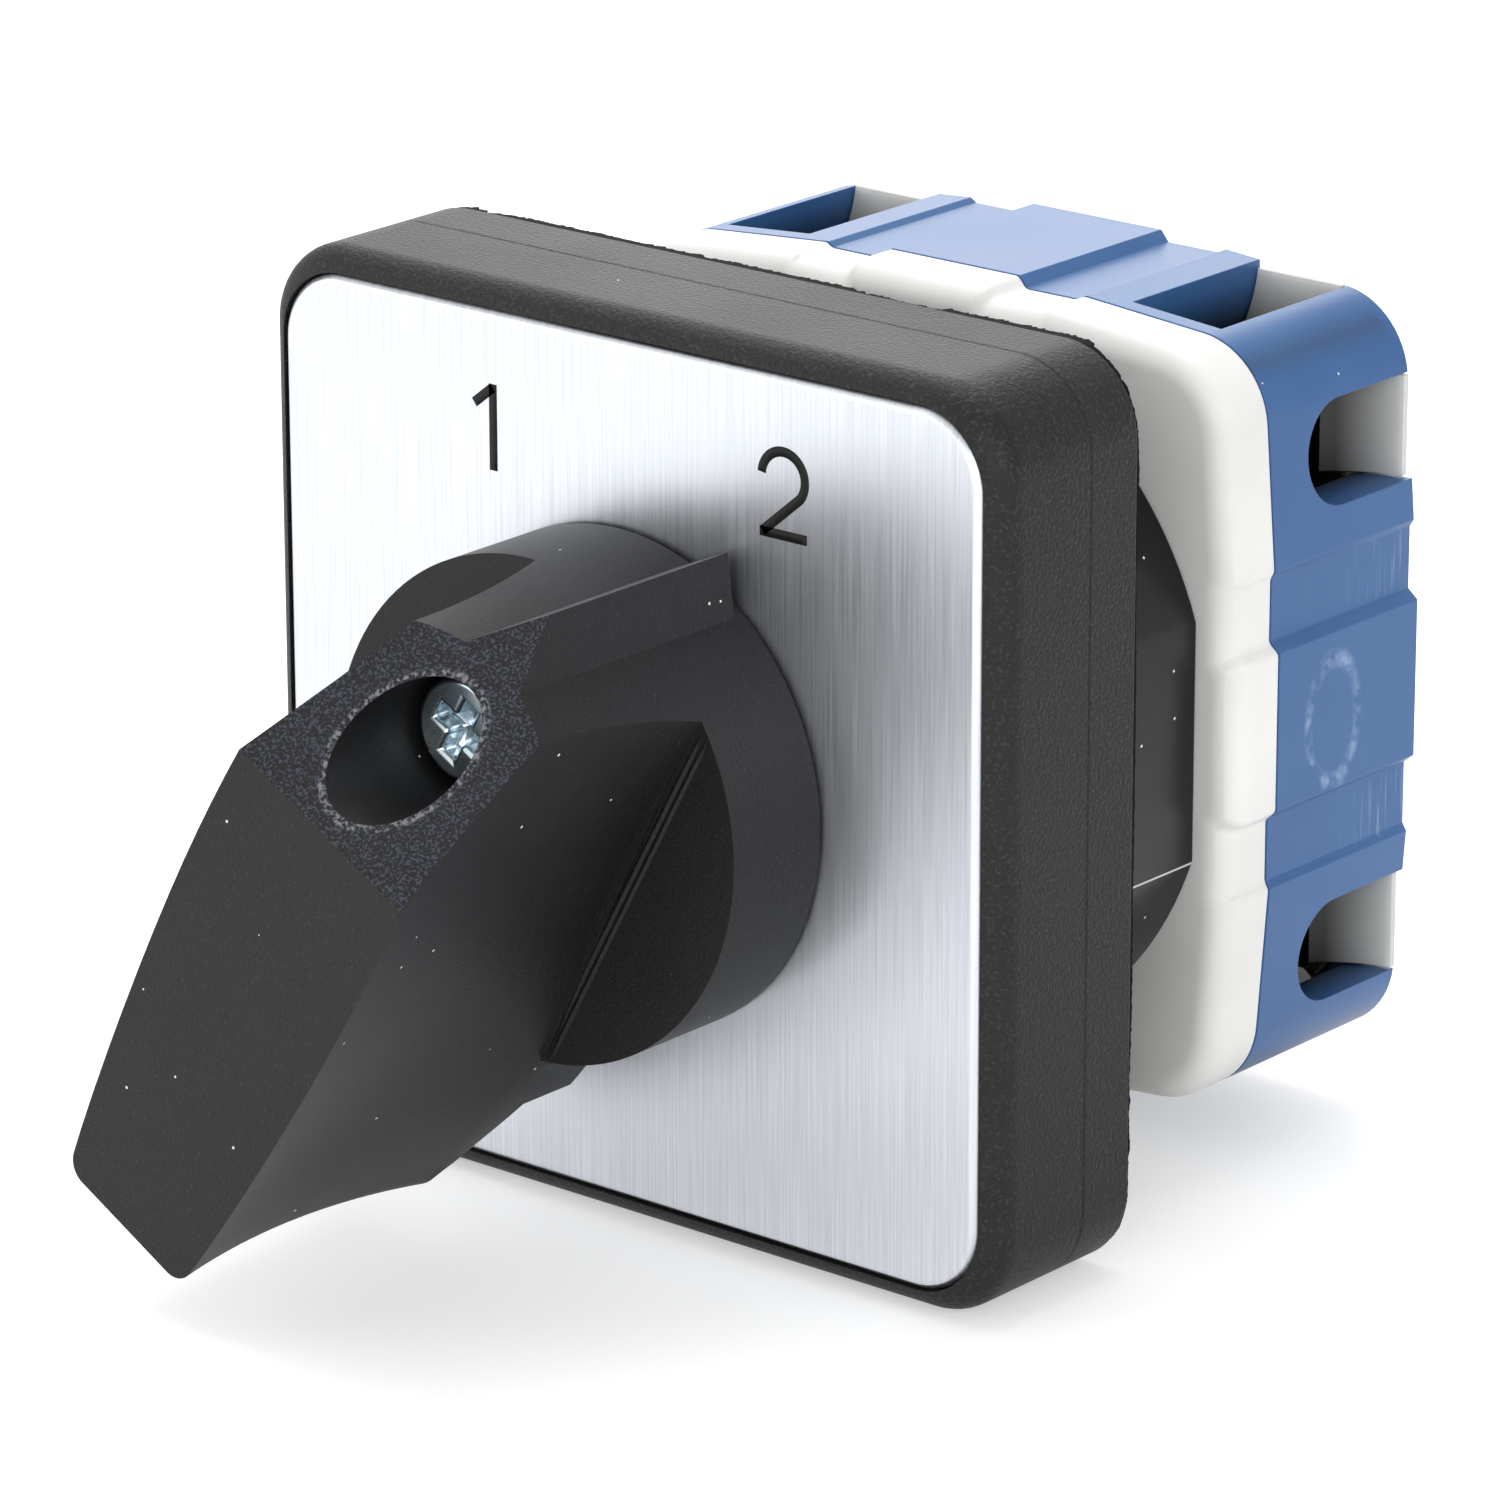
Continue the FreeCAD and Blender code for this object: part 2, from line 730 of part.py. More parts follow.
def lever_side_view(body):
    """Cut the lever to its side view: textured slope, front face, tip and raised underside."""
    slope = (D["lever_height"] - D["slope_height"]) / (D["disc_radius"] - D["ridge_reach"])
    beyond = D["pointer_reach"] + D["pointer_half"]
    foremost = D["slope_height"] - slope * (beyond - D["disc_radius"])
    outline = [
        (beyond, front(D["pointer_level"])),
        (beyond, front(foremost)),
        (D["ridge_reach"], front(D["lever_height"])),
        (-D["tip_reach"], front(D["lever_height"])),
        (-D["tip_reach"], front(D["tip_under"])),
        (-D["lug_reach"], front(D["lug_under"])),
        (-D["lug_reach"], front(D["lug_level"])),
        (ZERO, front(D["lug_level"])),
        (ZERO, front(D["pointer_level"])),
    ]
    clear = D["foot_tail"] * 2
    sketch = new_sketch(body, clear, "YZ_Plane")
    draw_outline(sketch, outline)
    reach = D["tip_reach"] + clear
    draw_box(sketch, -reach, reach, ZERO, front(D["lever_height"] + clear))
    pocket(body, sketch, clear * 2)


def at_tip(edge):
    """Whether the whole edge lies in the lever's end face."""
    box = edge.BoundBox
    tip = -D["tip_reach"].value
    return abs(box.YMin - tip) < 1e-4 and abs(box.YMax - tip) < 1e-4


def handle():
    """Black moulding: disc, lever, pointer rib and the deep well of its screw."""
    body = new_body("handle")
    lever_blank(body)
    far = D["foot_tail"] + D["pointer_half"]
    radius = D["disc_radius"]
    beside = root(radius * radius - far * far)
    sketch = new_sketch(body, front(D["lever_height"] * 2))
    end_cut = [(-far, beside), (far, beside), (far, radius * 2), (-far, radius * 2)]
    draw_outline(sketch, end_cut, {0: (ZERO, radius)})
    pocket(body, sketch, D["lever_height"] * 2)
    sketch = new_sketch(body, front(D["pointer_level"]))
    half = D["pointer_half"]
    rim = root(radius * radius - half * half)
    draw_outline(sketch, [(-half, radius - half), (half, radius - half), (half, rim),
                          (ZERO, D["pointer_reach"]), (-half, rim)])
    pad(body, sketch, D["slope_height"])
    lever_side_view(body)
    dress(body, "Fillet", "Radius", D["tip_round"],
          lambda e: at_tip(e) and not in_plane(e, front(D["lever_height"])))
    bottom = front(D["handle_gap"])
    sketch = new_sketch(body, bottom)
    draw_circle(sketch, radius)
    pad(body, sketch, D["disc_height"] - D["handle_gap"])
    upper, lower = radius - D["bead_inset"], -(D["foot_tail_reach"] - D["bead_half"])
    bead = D["bead_half"]
    for side in (1, -1):
        sketch = new_sketch(body, front(D["disc_height"]))
        draw_outline(sketch, [
            ((foot_half(lower) - bead) * side, lower), ((foot_half(lower) + bead) * side, lower),
            ((foot_half(upper) + bead) * side, upper), ((foot_half(upper) - bead) * side, upper),
        ])
        pad(body, sketch, D["bead_height"])
    flange_top = front(D["handle_gap"] * 2) + D["flange_sheet"]
    boss_room = flange_top + D["screw_boss_height"] + D["fit_gap"]
    for room_radius, offset, room_top in (
        (D["flange_radius"] + D["fit_gap"] * 2, ZERO, flange_top),
        (D["hub_radius"] + D["fit_gap"], ZERO, D["hub_top"] + D["fit_gap"]),
        (D["screw_boss_radius"] + D["fit_gap"], D["screw_offset"], boss_room),
        (D["handle_screw_radius"] + D["run_gap"], D["screw_offset"], front(D["well_floor"])),
    ):
        sketch = new_sketch(body, bottom)
        draw_circle(sketch, room_radius, ZERO, offset)
        pocket(body, sketch, room_top - bottom, up=True)
    sketch = new_sketch(body, front(D["well_floor"]))
    draw_circle(sketch, D["well_radius"], ZERO, D["screw_offset"])
    pocket(body, sketch, D["lever_height"], up=True)
    return body


def shaft():
    """Square steel shaft with turned corners, from the handle's hub to the rear cover."""
    half = D["shaft_square"] / 2
    bar = block("shaft_bar", -half, half, -half, half, shaft_rear, D["shaft_top"])
    turned = cylinder("shaft_turned", D["shaft_corner_radius"], D["shaft_top"] - shaft_rear, z=shaft_rear)
    return common("shaft", bar, turned)


def latch_housing():
    """Round housing with four flats; a spigot passes the panel, star wheel and stop run inside."""
    body = new_body("latch_housing")
    sketch = new_sketch(body, drum_rear)
    draw_circle(sketch, D["drum_radius"])
    pad(body, sketch, D["drum_depth"])
    sketch = new_sketch(body, drum_front)
    flat, beyond = D["drum_flat"], D["drum_radius"] * 2
    draw_box(sketch, -flat, flat, -flat, flat)
    draw_box(sketch, -beyond, beyond, -beyond, beyond)
    pocket(body, sketch, D["drum_depth"])
    dress(body, "Chamfer", "Size", D["drum_chamfer"], lambda e: in_plane(e, drum_rear))
    sketch = new_sketch(body, drum_front)
    draw_circle(sketch, D["spigot_radius"])
    pad(body, sketch, D["panel_gap"])
    sketch = new_sketch(body, drum_rear)
    draw_soft_box(sketch, D["latch_half_x"], D["latch_half_y"], D["latch_corner"])
    pocket(body, sketch, drum_floor - drum_rear, up=True)
    sketch = new_sketch(body, ZERO)
    draw_circle(sketch, D["shaft_corner_radius"] + D["run_gap"])
    pocket(body, sketch, D["panel_gap"] + D["drum_wall"])
    nut_radius = (D["nut_flats"] / 2 + D["snap_gap"]) / cosine(size(30))
    for side in (1, -1):
        sketch = new_sketch(body, drum_front)
        draw_circle(sketch, D["bolt_radius"] + D["fit_gap"], D["bolt_offset"] * side)
        pocket(body, sketch, D["drum_depth"])
        sketch = new_sketch(body, drum_front)
        draw_outline(sketch, hexagon(nut_radius, D["bolt_offset"] * side))
        pocket(body, sketch, D["nut_height"])
        sketch = new_sketch(body, drum_front)
        draw_circle(sketch, D["fixing_radius"] + D["square_gap"], ZERO, D["fixing_offset"] * side)
        pocket(body, sketch, D["fixing_bite"] + D["fit_gap"] * 3)
        sketch = new_sketch(body, drum_floor)
        angle = D["throw_angle"] / 2 + D["stop_half_angle"] + post_angle()
        draw_circle(sketch, D["post_radius"], sine(angle) * D["post_circle"] * side,
                    -(cosine(angle) * D["post_circle"]))
        pad(body, sketch, D["stop_sheet"] + D["fit_gap"] * 2, down=True)
    return body


def post_angle():
    """Half the angle that a stop post takes up on its circle, with its clearance."""
    ratio = (D["post_radius"] + D["fit_gap"]) / D["post_circle"]
    return Size(math.degrees(math.asin(ratio.value)), "asin(%s) / 1 deg" % ratio.text)


def hexagon(radius, x):
    """Six corners about a centre on the x axis, with two flats facing along x."""
    tall, low = radius, radius / 2
    half = radius * cosine(size(30))
    return [(x + half, low), (x, tall), (x - half, low), (x - half, -low), (x, -tall), (x + half, -low)]


def turned_notches(body, feature):
    """Repeat the last feature evenly about the shaft axis."""
    pattern = body.newObject("PartDesign::PolarPattern", body.Name + "_pattern")
    pattern.Originals = [feature]
    pattern.Axis = (next(f for f in body.Origin.OriginFeatures if f.Role == "Z_Axis"), [""])
    pattern.Angle = 360
    bind(pattern, "Occurrences", D["notches"])
    body.Tip = pattern
    doc.recompute()


def star_wheel():
    """Detent wheel: round notches, one for each step of the throw."""
    body = new_body("star_wheel")
    level = -D["star_level"]
    sketch = new_sketch(body, level)
    draw_circle(sketch, D["star_radius"])
    pad(body, sketch, D["star_height"])
    square_bore(body, level, D["star_height"], up=True)
    notch = D["star_radius"] - D["notch_depth"] + D["notch_radius"]
    sketch = new_sketch(body, level)
    draw_circle(sketch, D["notch_radius"], cosine(D["lever_angle"]) * notch, sine(D["lever_angle"]) * notch)
    turned_notches(body, pocket(body, sketch, D["star_height"], up=True))
    return body


def stop_plate():
    """Disc with one lug that meets a post of the latch housing at each end of the throw."""
    body = new_body("stop_plate")
    level = drum_floor - D["stop_sheet"] - D["fit_gap"]
    sketch = new_sketch(body, level)
    draw_circle(sketch, D["stop_radius"])
    pad(body, sketch, D["stop_sheet"])
    square_bore(body, level, D["stop_sheet"], up=True)
    sketch = new_sketch(body, level)
    near = D["stop_radius"] - D["stop_sheet"]
    wide, tall = sine(D["stop_half_angle"]), cosine(D["stop_half_angle"])
    reach = D["stop_reach"]
    draw_outline(sketch, [(-(near * wide), -(near * tall)), (-(reach * wide), -(reach * tall)),
                          (reach * wide, -(reach * tall)), (near * wide, -(near * tall))],
                 {1: (ZERO, -reach)})
    pad(body, sketch, D["stop_sheet"])
    return body


def detent_spring(label, side):
    """Flat spring bent to a round nose that rests in a notch, its ends on the housing's wall."""
    strip, nose = D["spring_strip"].value, D["spring_nose_radius"].value
    notch = D["star_radius"].value - D["notch_depth"].value
    tip = notch + D["nose_gap"].value + strip / 2
    wall = D["latch_half_x"].value - D["fit_gap"].value - strip / 2
    centre = tip + nose
    flank = math.radians(D["spring_nose_angle"].value)
    edge = Vector(centre - nose * math.cos(flank), nose * math.sin(flank), 0)
    end = Vector(wall, D["spring_end"].value, 0)
    bend = Vector((edge.x + wall) / 2 + strip, edge.y + (wall - edge.x) * D["spring_bend_share"].value, 0)
    below = [Vector(p.x, -p.y, 0) for p in (edge, bend, end)]
    line = Part.Wire([
        Part.LineSegment(below[2], below[1]).toShape(),
        Part.LineSegment(below[1], below[0]).toShape(),
        Part.Arc(below[0], Vector(tip, 0, 0), edge).toShape(),
        Part.LineSegment(edge, bend).toShape(),
        Part.LineSegment(bend, end).toShape(),
    ])
    face = line.makeOffset2D(strip / 2, 0, True, True)
    solid = face.extrude(Vector(0, 0, D["spring_width"].value))
    inset = (D["star_height"].value - D["spring_width"].value) / 2
    solid.translate(Vector(0, 0, inset - D["star_level"].value))
    if side < 0:
        solid = solid.rotated(Vector(0, 0, 0), Vector(0, 0, 1), 180)
    item = doc.addObject("Part::Feature", label)
    item.Shape = solid
    item.Label = label
    return item


def hex_nut(name, x, z):
    nut = doc.addObject("Part::Prism", name)
    bind(nut, "Circumradius", D["nut_flats"] / 2 / cosine(size(30)))
    bind(nut, "Height", D["nut_height"])
    nut.Polygon = 6
    nut.Placement = Placement(Vector(x.value, 0, z.value), Rotation(Vector(0, 0, 1), 30))
    bind(nut, "Placement.Base.x", x)
    bind(nut, "Placement.Base.z", z)
    return cut(name + "_bored", nut, cylinder(name + "_bore", D["bolt_radius"] + D["square_gap"],
                                              D["nut_height"], x, ZERO, z))


def deck_nuts():
    """Nuts captured in the latch housing's front face."""
    level = drum_front - D["nut_height"]
    return group("deck_nuts", [
        hex_nut("right_nut", D["bolt_offset"], level),
        hex_nut("left_nut", -D["bolt_offset"], level),
    ])


def deck_bolts():
    """Long bolts from the rear cover through deck and mounting plate to the nuts."""
    length = drum_front - deck_rear - D["fit_gap"] * 2
    bolts = []
    for name, side in (("right_bolt", 1), ("left_bolt", -1)):
        x = D["bolt_offset"] * side
        low = deck_rear - D["bolt_head_height"]
        head = cylinder(name + "_head", D["bolt_head_radius"], D["bolt_head_height"], x, ZERO, low)
        shank = cylinder(name + "_shank", D["bolt_radius"], length + D["bolt_head_height"] / 2, x, ZERO,
                         deck_rear - D["bolt_head_height"] / 2)
        recess = cross_recess(name + "_recess", D["bolt_head_radius"], x, ZERO, low,
                              D["bolt_head_height"] * D["recess_depth_share"])
        bolts.append(cut(name, fuse(name + "_blank", [head, shank]), recess))
    return group("deck_bolts", bolts)


def deck_outline():
    """Corners of the deck's section: ribs and grooves on each side, walls drawn in at the corners."""
    side = [
        (D["deck_corner"], D["deck_corner"]),
        (D["deck_shoulder_start"], D["deck_shoulder"]),
        (D["deck_groove_end"], D["deck_groove"]),
        (D["deck_groove_start"], D["deck_groove"]),
        (D["deck_rib_half"], D["deck_rib"]),
    ]
    top = side + [(-x, y) for x, y in reversed(side[1:])]
    outline = []
    for turn in range(4):
        for x, y in top:
            for _ in range(turn):
                x, y = -y, x
            outline.append((x, y))
    return outline


def deck_blank(label, level, depth):
    """A body with the deck's section and round corners."""
    body = new_body(label)
    sketch = new_sketch(body, level)
    draw_outline(sketch, deck_outline())
    pad(body, sketch, depth)
    corner = D["deck_rib"] + D["deck_corner_radius"]
    dress(body, "Fillet", "Radius", D["deck_corner_radius"],
          lambda e: reaches(e, corner) and e.BoundBox.ZLength > depth.value / 2)
    return body


def bolt_holes(body, level, depth):
    for side in (1, -1):
        sketch = new_sketch(body, level)
        draw_circle(sketch, D["bolt_radius"] + D["fit_gap"], D["bolt_offset"] * side)
        pocket(body, sketch, depth)


def mounting_plate():
    """Pale plate between latch housing and deck, its front edge softly rounded."""
    body = deck_blank("mounting_plate", cover_rear, D["cover_sheet"])
    dress(body, "Fillet", "Radius", D["cover_round"], lambda e: in_plane(e, drum_rear))
    bolt_holes(body, drum_rear, D["cover_sheet"])
    sketch = new_sketch(body, drum_rear)
    draw_circle(sketch, D["journal_radius"] + D["run_gap"])
    pocket(body, sketch, D["cover_sheet"])
    return body


def deck_pocket(body, depth, draw):
    """Cut from the deck's open rear forwards."""
    sketch = new_sketch(body, deck_rear)
    draw(sketch)
    pocket(body, sketch, depth, up=True)


def contact_housing():
    """Blue deck, open to the rear: cam room, contact channels, terminals, screw and wire openings."""
    body = deck_blank("contact_housing", deck_rear, D["deck_depth"])
    depth = D["deck_depth"] - D["deck_floor"]
    deck_pocket(body, depth, lambda s: draw_circle(s, D["cam_room"]))
    recess = D["rear_recess"]
    deck_pocket(body, D["end_sheet"], lambda s: draw_soft_box(s, recess, recess, D["end_corner"]))
    bolt_holes(body, cover_rear, D["deck_depth"])
    sketch = new_sketch(body, cover_rear)
    draw_circle(sketch, D["journal_radius"] + D["run_gap"])
    pocket(body, sketch, D["deck_floor"])
    deck_pocket(body, depth, lambda s: draw_box(
        s, -D["channel_half"], D["channel_half"], -D["channel_reach"], D["channel_reach"]))
    centre, overlap = D["slot_centre"], D["deck_floor"]
    terminal_depth = D["deck_depth"] - D["terminal_wall"]
    for up in (1, -1):
        deck_pocket(body, terminal_depth, lambda s: draw_box(
            s, -D["bridge_room_half"], D["bridge_room_half"],
            D["bar_level"] * up, D["bridge_room_reach"] * up))
    for right in (1, -1):
        for up in (1, -1):
            deck_pocket(body, terminal_depth, lambda s: draw_box(
                s, (D["bridge_room_half"] - overlap) * right, D["terminal_end"] * right,
                D["bar_level"] * up, D["terminal_reach"] * up))
            deck_pocket(body, D["deck_depth"] - D["window_wall"], lambda s: draw_box(
                s, (centre - D["slot_half"]) * right, (centre + D["slot_half"]) * right,
                (D["terminal_reach"] - overlap) * up, (D["deck_rib"] + overlap) * up))
            below = new_sketch(body, -(D["bar_level"] * up), "XZ_Plane")
            draw_circle(below, D["terminal_screw_radius"] + D["fit_gap"] * 3,
                        D["terminal_offset"] * right, contact_plane)
            pocket(body, below, D["terminal_screw_tail"] + D["fit_gap"] * 2, up=up > 0)
        entries(body, right)
    return body


def entries(body, right):
    """Wire entries of one side: slots with a round front end, open to the rear."""
    over = D["deck_floor"]
    out = D["deck_rib"] + over
    half = D["slot_half"]
    round_centre = cover_rear - D["entry_wall"] - half
    for up in (1, -1):
        sketch = new_sketch(body, out * right, "YZ_Plane")
        low = D["slot_centre"] * up - half
        high = D["slot_centre"] * up + half
        corners = [(low, deck_rear - over), (high, deck_rear - over),
                   (high, round_centre), (low, round_centre)]
        draw_outline(sketch, corners, {2: (D["slot_centre"] * up, round_centre + half)})
        pocket(body, sketch, out - D["terminal_end"] + over, up=right < 0)


def end_cover():
    """Pale rear cover whose tongues close the slots with hollow chutes."""
    body = new_body("end_cover")
    sketch = new_sketch(body, deck_rear)
    side = D["rear_recess"] - D["fit_gap"]
    draw_soft_box(sketch, side, side, D["end_corner"])
    pad(body, sketch, D["end_sheet"])
    tongues(body)
    bolt_holes(body, deck_rear + D["end_sheet"], D["end_sheet"])
    sketch = new_sketch(body, deck_rear + D["end_sheet"])
    draw_circle(sketch, D["rear_journal_radius"] + D["run_gap"])
    pocket(body, sketch, D["end_sheet"])
    return body


def tongues(body):
    """Eight wedges with hollow fronts, two on each side of the cover."""
    half = D["slot_half"] - D["fit_gap"]
    radius, middle = D["chute_radius"], deck_rear + D["chute_level"]
    inner, outer = D["chute_inner"], D["chute_outer"]
    centre = D["chute_centre"]

    def chute(x):
        return middle - root(radius * radius - (centre - x) * (centre - x))

    halfway = (inner + outer) / 2
    sketch = new_sketch(body, -(D["slot_centre"] - half), "XZ_Plane")
    profile = [(inner, deck_rear), (outer, deck_rear), (outer, chute(outer)), (inner, chute(inner))]
    draw_outline(sketch, profile, {2: (halfway, chute(halfway))})
    wedge = pad(body, sketch, half * 2, down=True)
    repeat = body.newObject("PartDesign::MultiTransform", "tongue_repeat")
    repeat.Originals = [wedge]
    mirrored = body.newObject("PartDesign::Mirrored", "tongue_mirror")
    mirrored.MirrorPlane = (next(f for f in body.Origin.OriginFeatures if f.Role == "XZ_Plane"), [""])
    turned = body.newObject("PartDesign::PolarPattern", "tongue_turn")
    turned.Axis = (next(f for f in body.Origin.OriginFeatures if f.Role == "Z_Axis"), [""])
    turned.Angle = 360
    turned.Occurrences = 4
    repeat.Transformations = [mirrored, turned]
    body.Tip = repeat
    doc.recompute()


FLANK_STEPS = 12


def spiral(start, end, low, high):
    """A flank of the cam whose radius grows evenly with the angle, in degrees."""
    points = []
    for i in range(FLANK_STEPS + 1):
        share = i / FLANK_STEPS
        angle = math.radians(start + (end - start) * share)
        reach = low + (high - low) * share
        points.append(Vector(reach * math.cos(angle), reach * math.sin(angle), 0))
    curve = Part.BSplineCurve()
    curve.interpolate(points)
    return curve.toShape(), points[0], points[-1]


def contact_cam():
    """Cam with an even flank for each contact, on a hub that turns in both plates."""
    throw, margin = D["throw_angle"].value, D["cam_margin_angle"].value
    low, high = D["cam_low"].value, D["cam_high"].value
    over = (high - low) * margin / throw
    top = 90 + D["lever_angle"].value
    upper, first, second = spiral(top - throw - margin, top + margin, low - over, high + over)
    lower, third, fourth = spiral(top + 180 - throw - margin, top + 180 + margin, high + over, low - over)
    across = math.radians(top + 90)
    side_on = Vector(math.cos(across), math.sin(across), 0)
    dwell_high = Part.Arc(second, side_on * (high + over), third).toShape()
    dwell_low = Part.Arc(fourth, side_on * (over - low), first).toShape()
    face = Part.Face(Part.Wire([upper, dwell_high, lower, dwell_low]))
    disc = face.extrude(Vector(0, 0, D["cam_sheet"].value))
    disc.translate(Vector(0, 0, cam_back.value))
    hub_front = drum_rear.value - D["fit_gap"].value
    hub_rear = deck_rear.value + D["fit_gap"].value
    front_hub = Part.makeCylinder(D["journal_radius"].value, hub_front - cam_front.value,
                                  Vector(0, 0, cam_front.value))
    rear_hub = Part.makeCylinder(D["rear_journal_radius"].value, cam_back.value - hub_rear,
                                 Vector(0, 0, hub_rear))
    side = D["shaft_square"].value + 2 * D["square_gap"].value
    bore = Part.makeBox(side, side, hub_front - hub_rear, Vector(-side / 2, -side / 2, hub_rear))
    item = doc.addObject("Part::Feature", "contact_cam")
    item.Shape = disc.fuse([front_hub, rear_hub]).cut(bore).removeSplitter()
    item.Label = "contact_cam"
    return item


# The moving contact sits one lift further out when its contact is open
lift = D["cam_high"] - D["cam_low"]
bar_top = D["bar_level"] + D["bar_sheet"]
bridge_low = bar_top + D["tip_sheet"] * 2 + D["closed_gap"]


def plunger(label, up, raised):
    """Follower with a round nose on the cam; its pin guides bridge and spring."""
    body = new_body(label)
    seat = bridge_low + raised
    nose = D["cam_low"] + D["nose_gap"] + raised
    neck = nose + D["nose_height"]
    half, tip = D["plunger_half"], D["nose_radius"]
    sketch = new_sketch(body, contact_plane - D["plunger_sheet"] / 2)
    shoulder = neck + D["plunger_slope"]
    draw_outline(sketch, [(half * up, seat * up), (-(half * up), seat * up), (-(half * up), shoulder * up),
                          (-(tip * up), neck * up), (tip * up, neck * up), (half * up, shoulder * up)],
                 {3: (ZERO, nose * up)})
    pad(body, sketch, D["plunger_sheet"])
    sketch = new_sketch(body, -(seat * up), "XZ_Plane")
    draw_circle(sketch, D["guide_radius"], ZERO, contact_plane)
    pad(body, sketch, D["bridge_sheet"] + D["guide_length"], down=up > 0)
    return body


def contact_bridge(label, up, raised):
    """Brass strip that joins two fixed contacts."""
    body = new_body(label)
    sketch = new_sketch(body, contact_plane - D["bridge_width"] / 2)
    low = bridge_low + raised
    draw_box(sketch, -D["bridge_half"], D["bridge_half"], low * up, (low + D["bridge_sheet"]) * up)
    pad(body, sketch, D["bridge_width"])
    sketch = new_sketch(body, -((low + D["bridge_sheet"]) * up), "XZ_Plane")
    draw_circle(sketch, D["guide_radius"] + D["square_gap"], ZERO, contact_plane)
    pocket(body, sketch, D["bridge_sheet"], up=up > 0)
    return body


def tip_disc(name, x, level, up):
    """A silver contact tip on a strip, its face towards the opposite tip."""
    item = cylinder(name, D["tip_radius"], D["tip_sheet"])
    return upright(item, x, level, contact_plane, up)


def bridge_tips(label, up, raised):
    level = (bridge_low + raised) * up
    return group(label, [tip_disc("%s_%d" % (label, n), D["tip_offset"] * n, level, -up) for n in (1, -1)])


def fixed_tips():
    """Silver tips riveted to the four fixed contacts."""
    return group("fixed_tips", [
        tip_disc("fixed_tip_%d_%d" % (right, up), D["tip_offset"] * right, bar_top * up, up)
        for right in (1, -1) for up in (1, -1)
    ])


def fixed_contact(label, right, up):
    """Brass bar from the contact tip to its terminal screw."""
    body = new_body(label)
    sketch = new_sketch(body, contact_plane - D["bar_width"] / 2)
    draw_box(sketch, D["bar_start"] * right, D["bar_end"] * right, D["bar_level"] * up, bar_top * up)
    pad(body, sketch, D["bar_width"])
    sketch = new_sketch(body, -(bar_top * up), "XZ_Plane")
    bore = D["terminal_screw_radius"] + D["square_gap"]
    draw_circle(sketch, bore, D["terminal_offset"] * right, contact_plane)
    pocket(body, sketch, D["bar_sheet"], up=up > 0)
    return body


# The thin spring wire is drawn with a few flats in place of its round section
WIRE_SIDES = 6


def contact_spring(label, up, raised):
    """Coil spring between the bridge and the housing's wall."""
    low = bridge_low + raised + D["bridge_sheet"] + D["coil_wire"]
    high = D["channel_reach"] - D["coil_wire"]
    helix = doc.addObject("Part::Helix", label + "_line")
    bind(helix, "Height", high - low)
    bind(helix, "Pitch", (high - low) / D["coil_turns"])
    bind(helix, "Radius", D["coil_radius"])
    ring = doc.addObject("Part::RegularPolygon", label + "_wire")
    ring.Polygon = WIRE_SIDES
    bind(ring, "Circumradius", D["coil_wire"])
    ring.Placement = Placement(Vector(D["coil_radius"].value, 0, 0), Rotation(Vector(1, 0, 0), 90))
    bind(ring, "Placement.Base.x", D["coil_radius"])
    coil = doc.addObject("Part::Sweep", label + "_coil")
    coil.Sections = [ring]
    coil.Spine = (helix, ["Edge1"])
    coil.Solid = True
    coil.Frenet = True
    return group(label, [upright(coil, ZERO, low * up, contact_plane, up)])


def clamp_washers():
    """Square washers under the heads of the terminal screws."""
    half = D["washer_side"] / 2
    washers = []
    for right in (1, -1):
        for up in (1, -1):
            name = "washer_%d_%d" % (right, up)
            x = D["terminal_offset"] * right
            near = bar_top + D["wire_room"]
            low, high = near * up, (near + D["washer_sheet"]) * up
            if up < 0:
                low, high = high, low
            plate = block(name + "_plate", x - half, x + half, low, high,
                          contact_plane - half, contact_plane + half)
            hole = cylinder(name + "_hole", D["terminal_screw_radius"] + D["fit_gap"], D["washer_sheet"])
            washers.append(cut(name, plate, upright(hole, x, near * up, contact_plane, up)))
    return group("clamp_washers", washers)


def terminal_screws():
    """Cheese-head screws through the bars, backed out to take a wire."""
    screws = []
    seat = bar_top + D["wire_room"] + D["washer_sheet"]
    tail = D["bar_level"] - D["terminal_screw_tail"]
    half = D["terminal_head_radius"]
    for right in (1, -1):
        for up in (1, -1):
            name = "terminal_screw_%d_%d" % (right, up)
            x = D["terminal_offset"] * right
            head = cylinder(name + "_head", half, D["terminal_head_height"])
            shank = cylinder(name + "_shank", D["terminal_screw_radius"],
                             seat + D["terminal_head_height"] / 2 - tail)
            blank = fuse(name + "_blank", [upright(head, x, seat * up, contact_plane, up),
                                           upright(shank, x, tail * up, contact_plane, up)])
            top = (seat + D["terminal_head_height"]) * up
            deep = D["terminal_head_height"] * D["recess_depth_share"]
            slot_half = half * D["recess_web_share"]
            slot = block(name + "_slot", x - half, x + half, top - deep, top + deep,
                         contact_plane - slot_half, contact_plane + slot_half)
            screws.append(cut(name, blank, slot))
    return group("terminal_screws", screws)


def write_parts(pieces):
    """Check every object and each sub-part's shape, then write the shapes."""
    doc.recompute()
    failed = [o.Name for o in doc.Objects if {"Invalid", "Error"} & set(o.State)]
    if failed:
        raise RuntimeError("failed: " + ", ".join(failed))
    for piece in pieces:
        if piece.Shape.isNull() or not piece.Shape.isValid() or piece.Shape.Volume <= 0:
            raise RuntimeError("bad shape: " + piece.Label)
    for piece in pieces:
        piece.Shape.exportStep("parts/%s.step" % piece.Label)


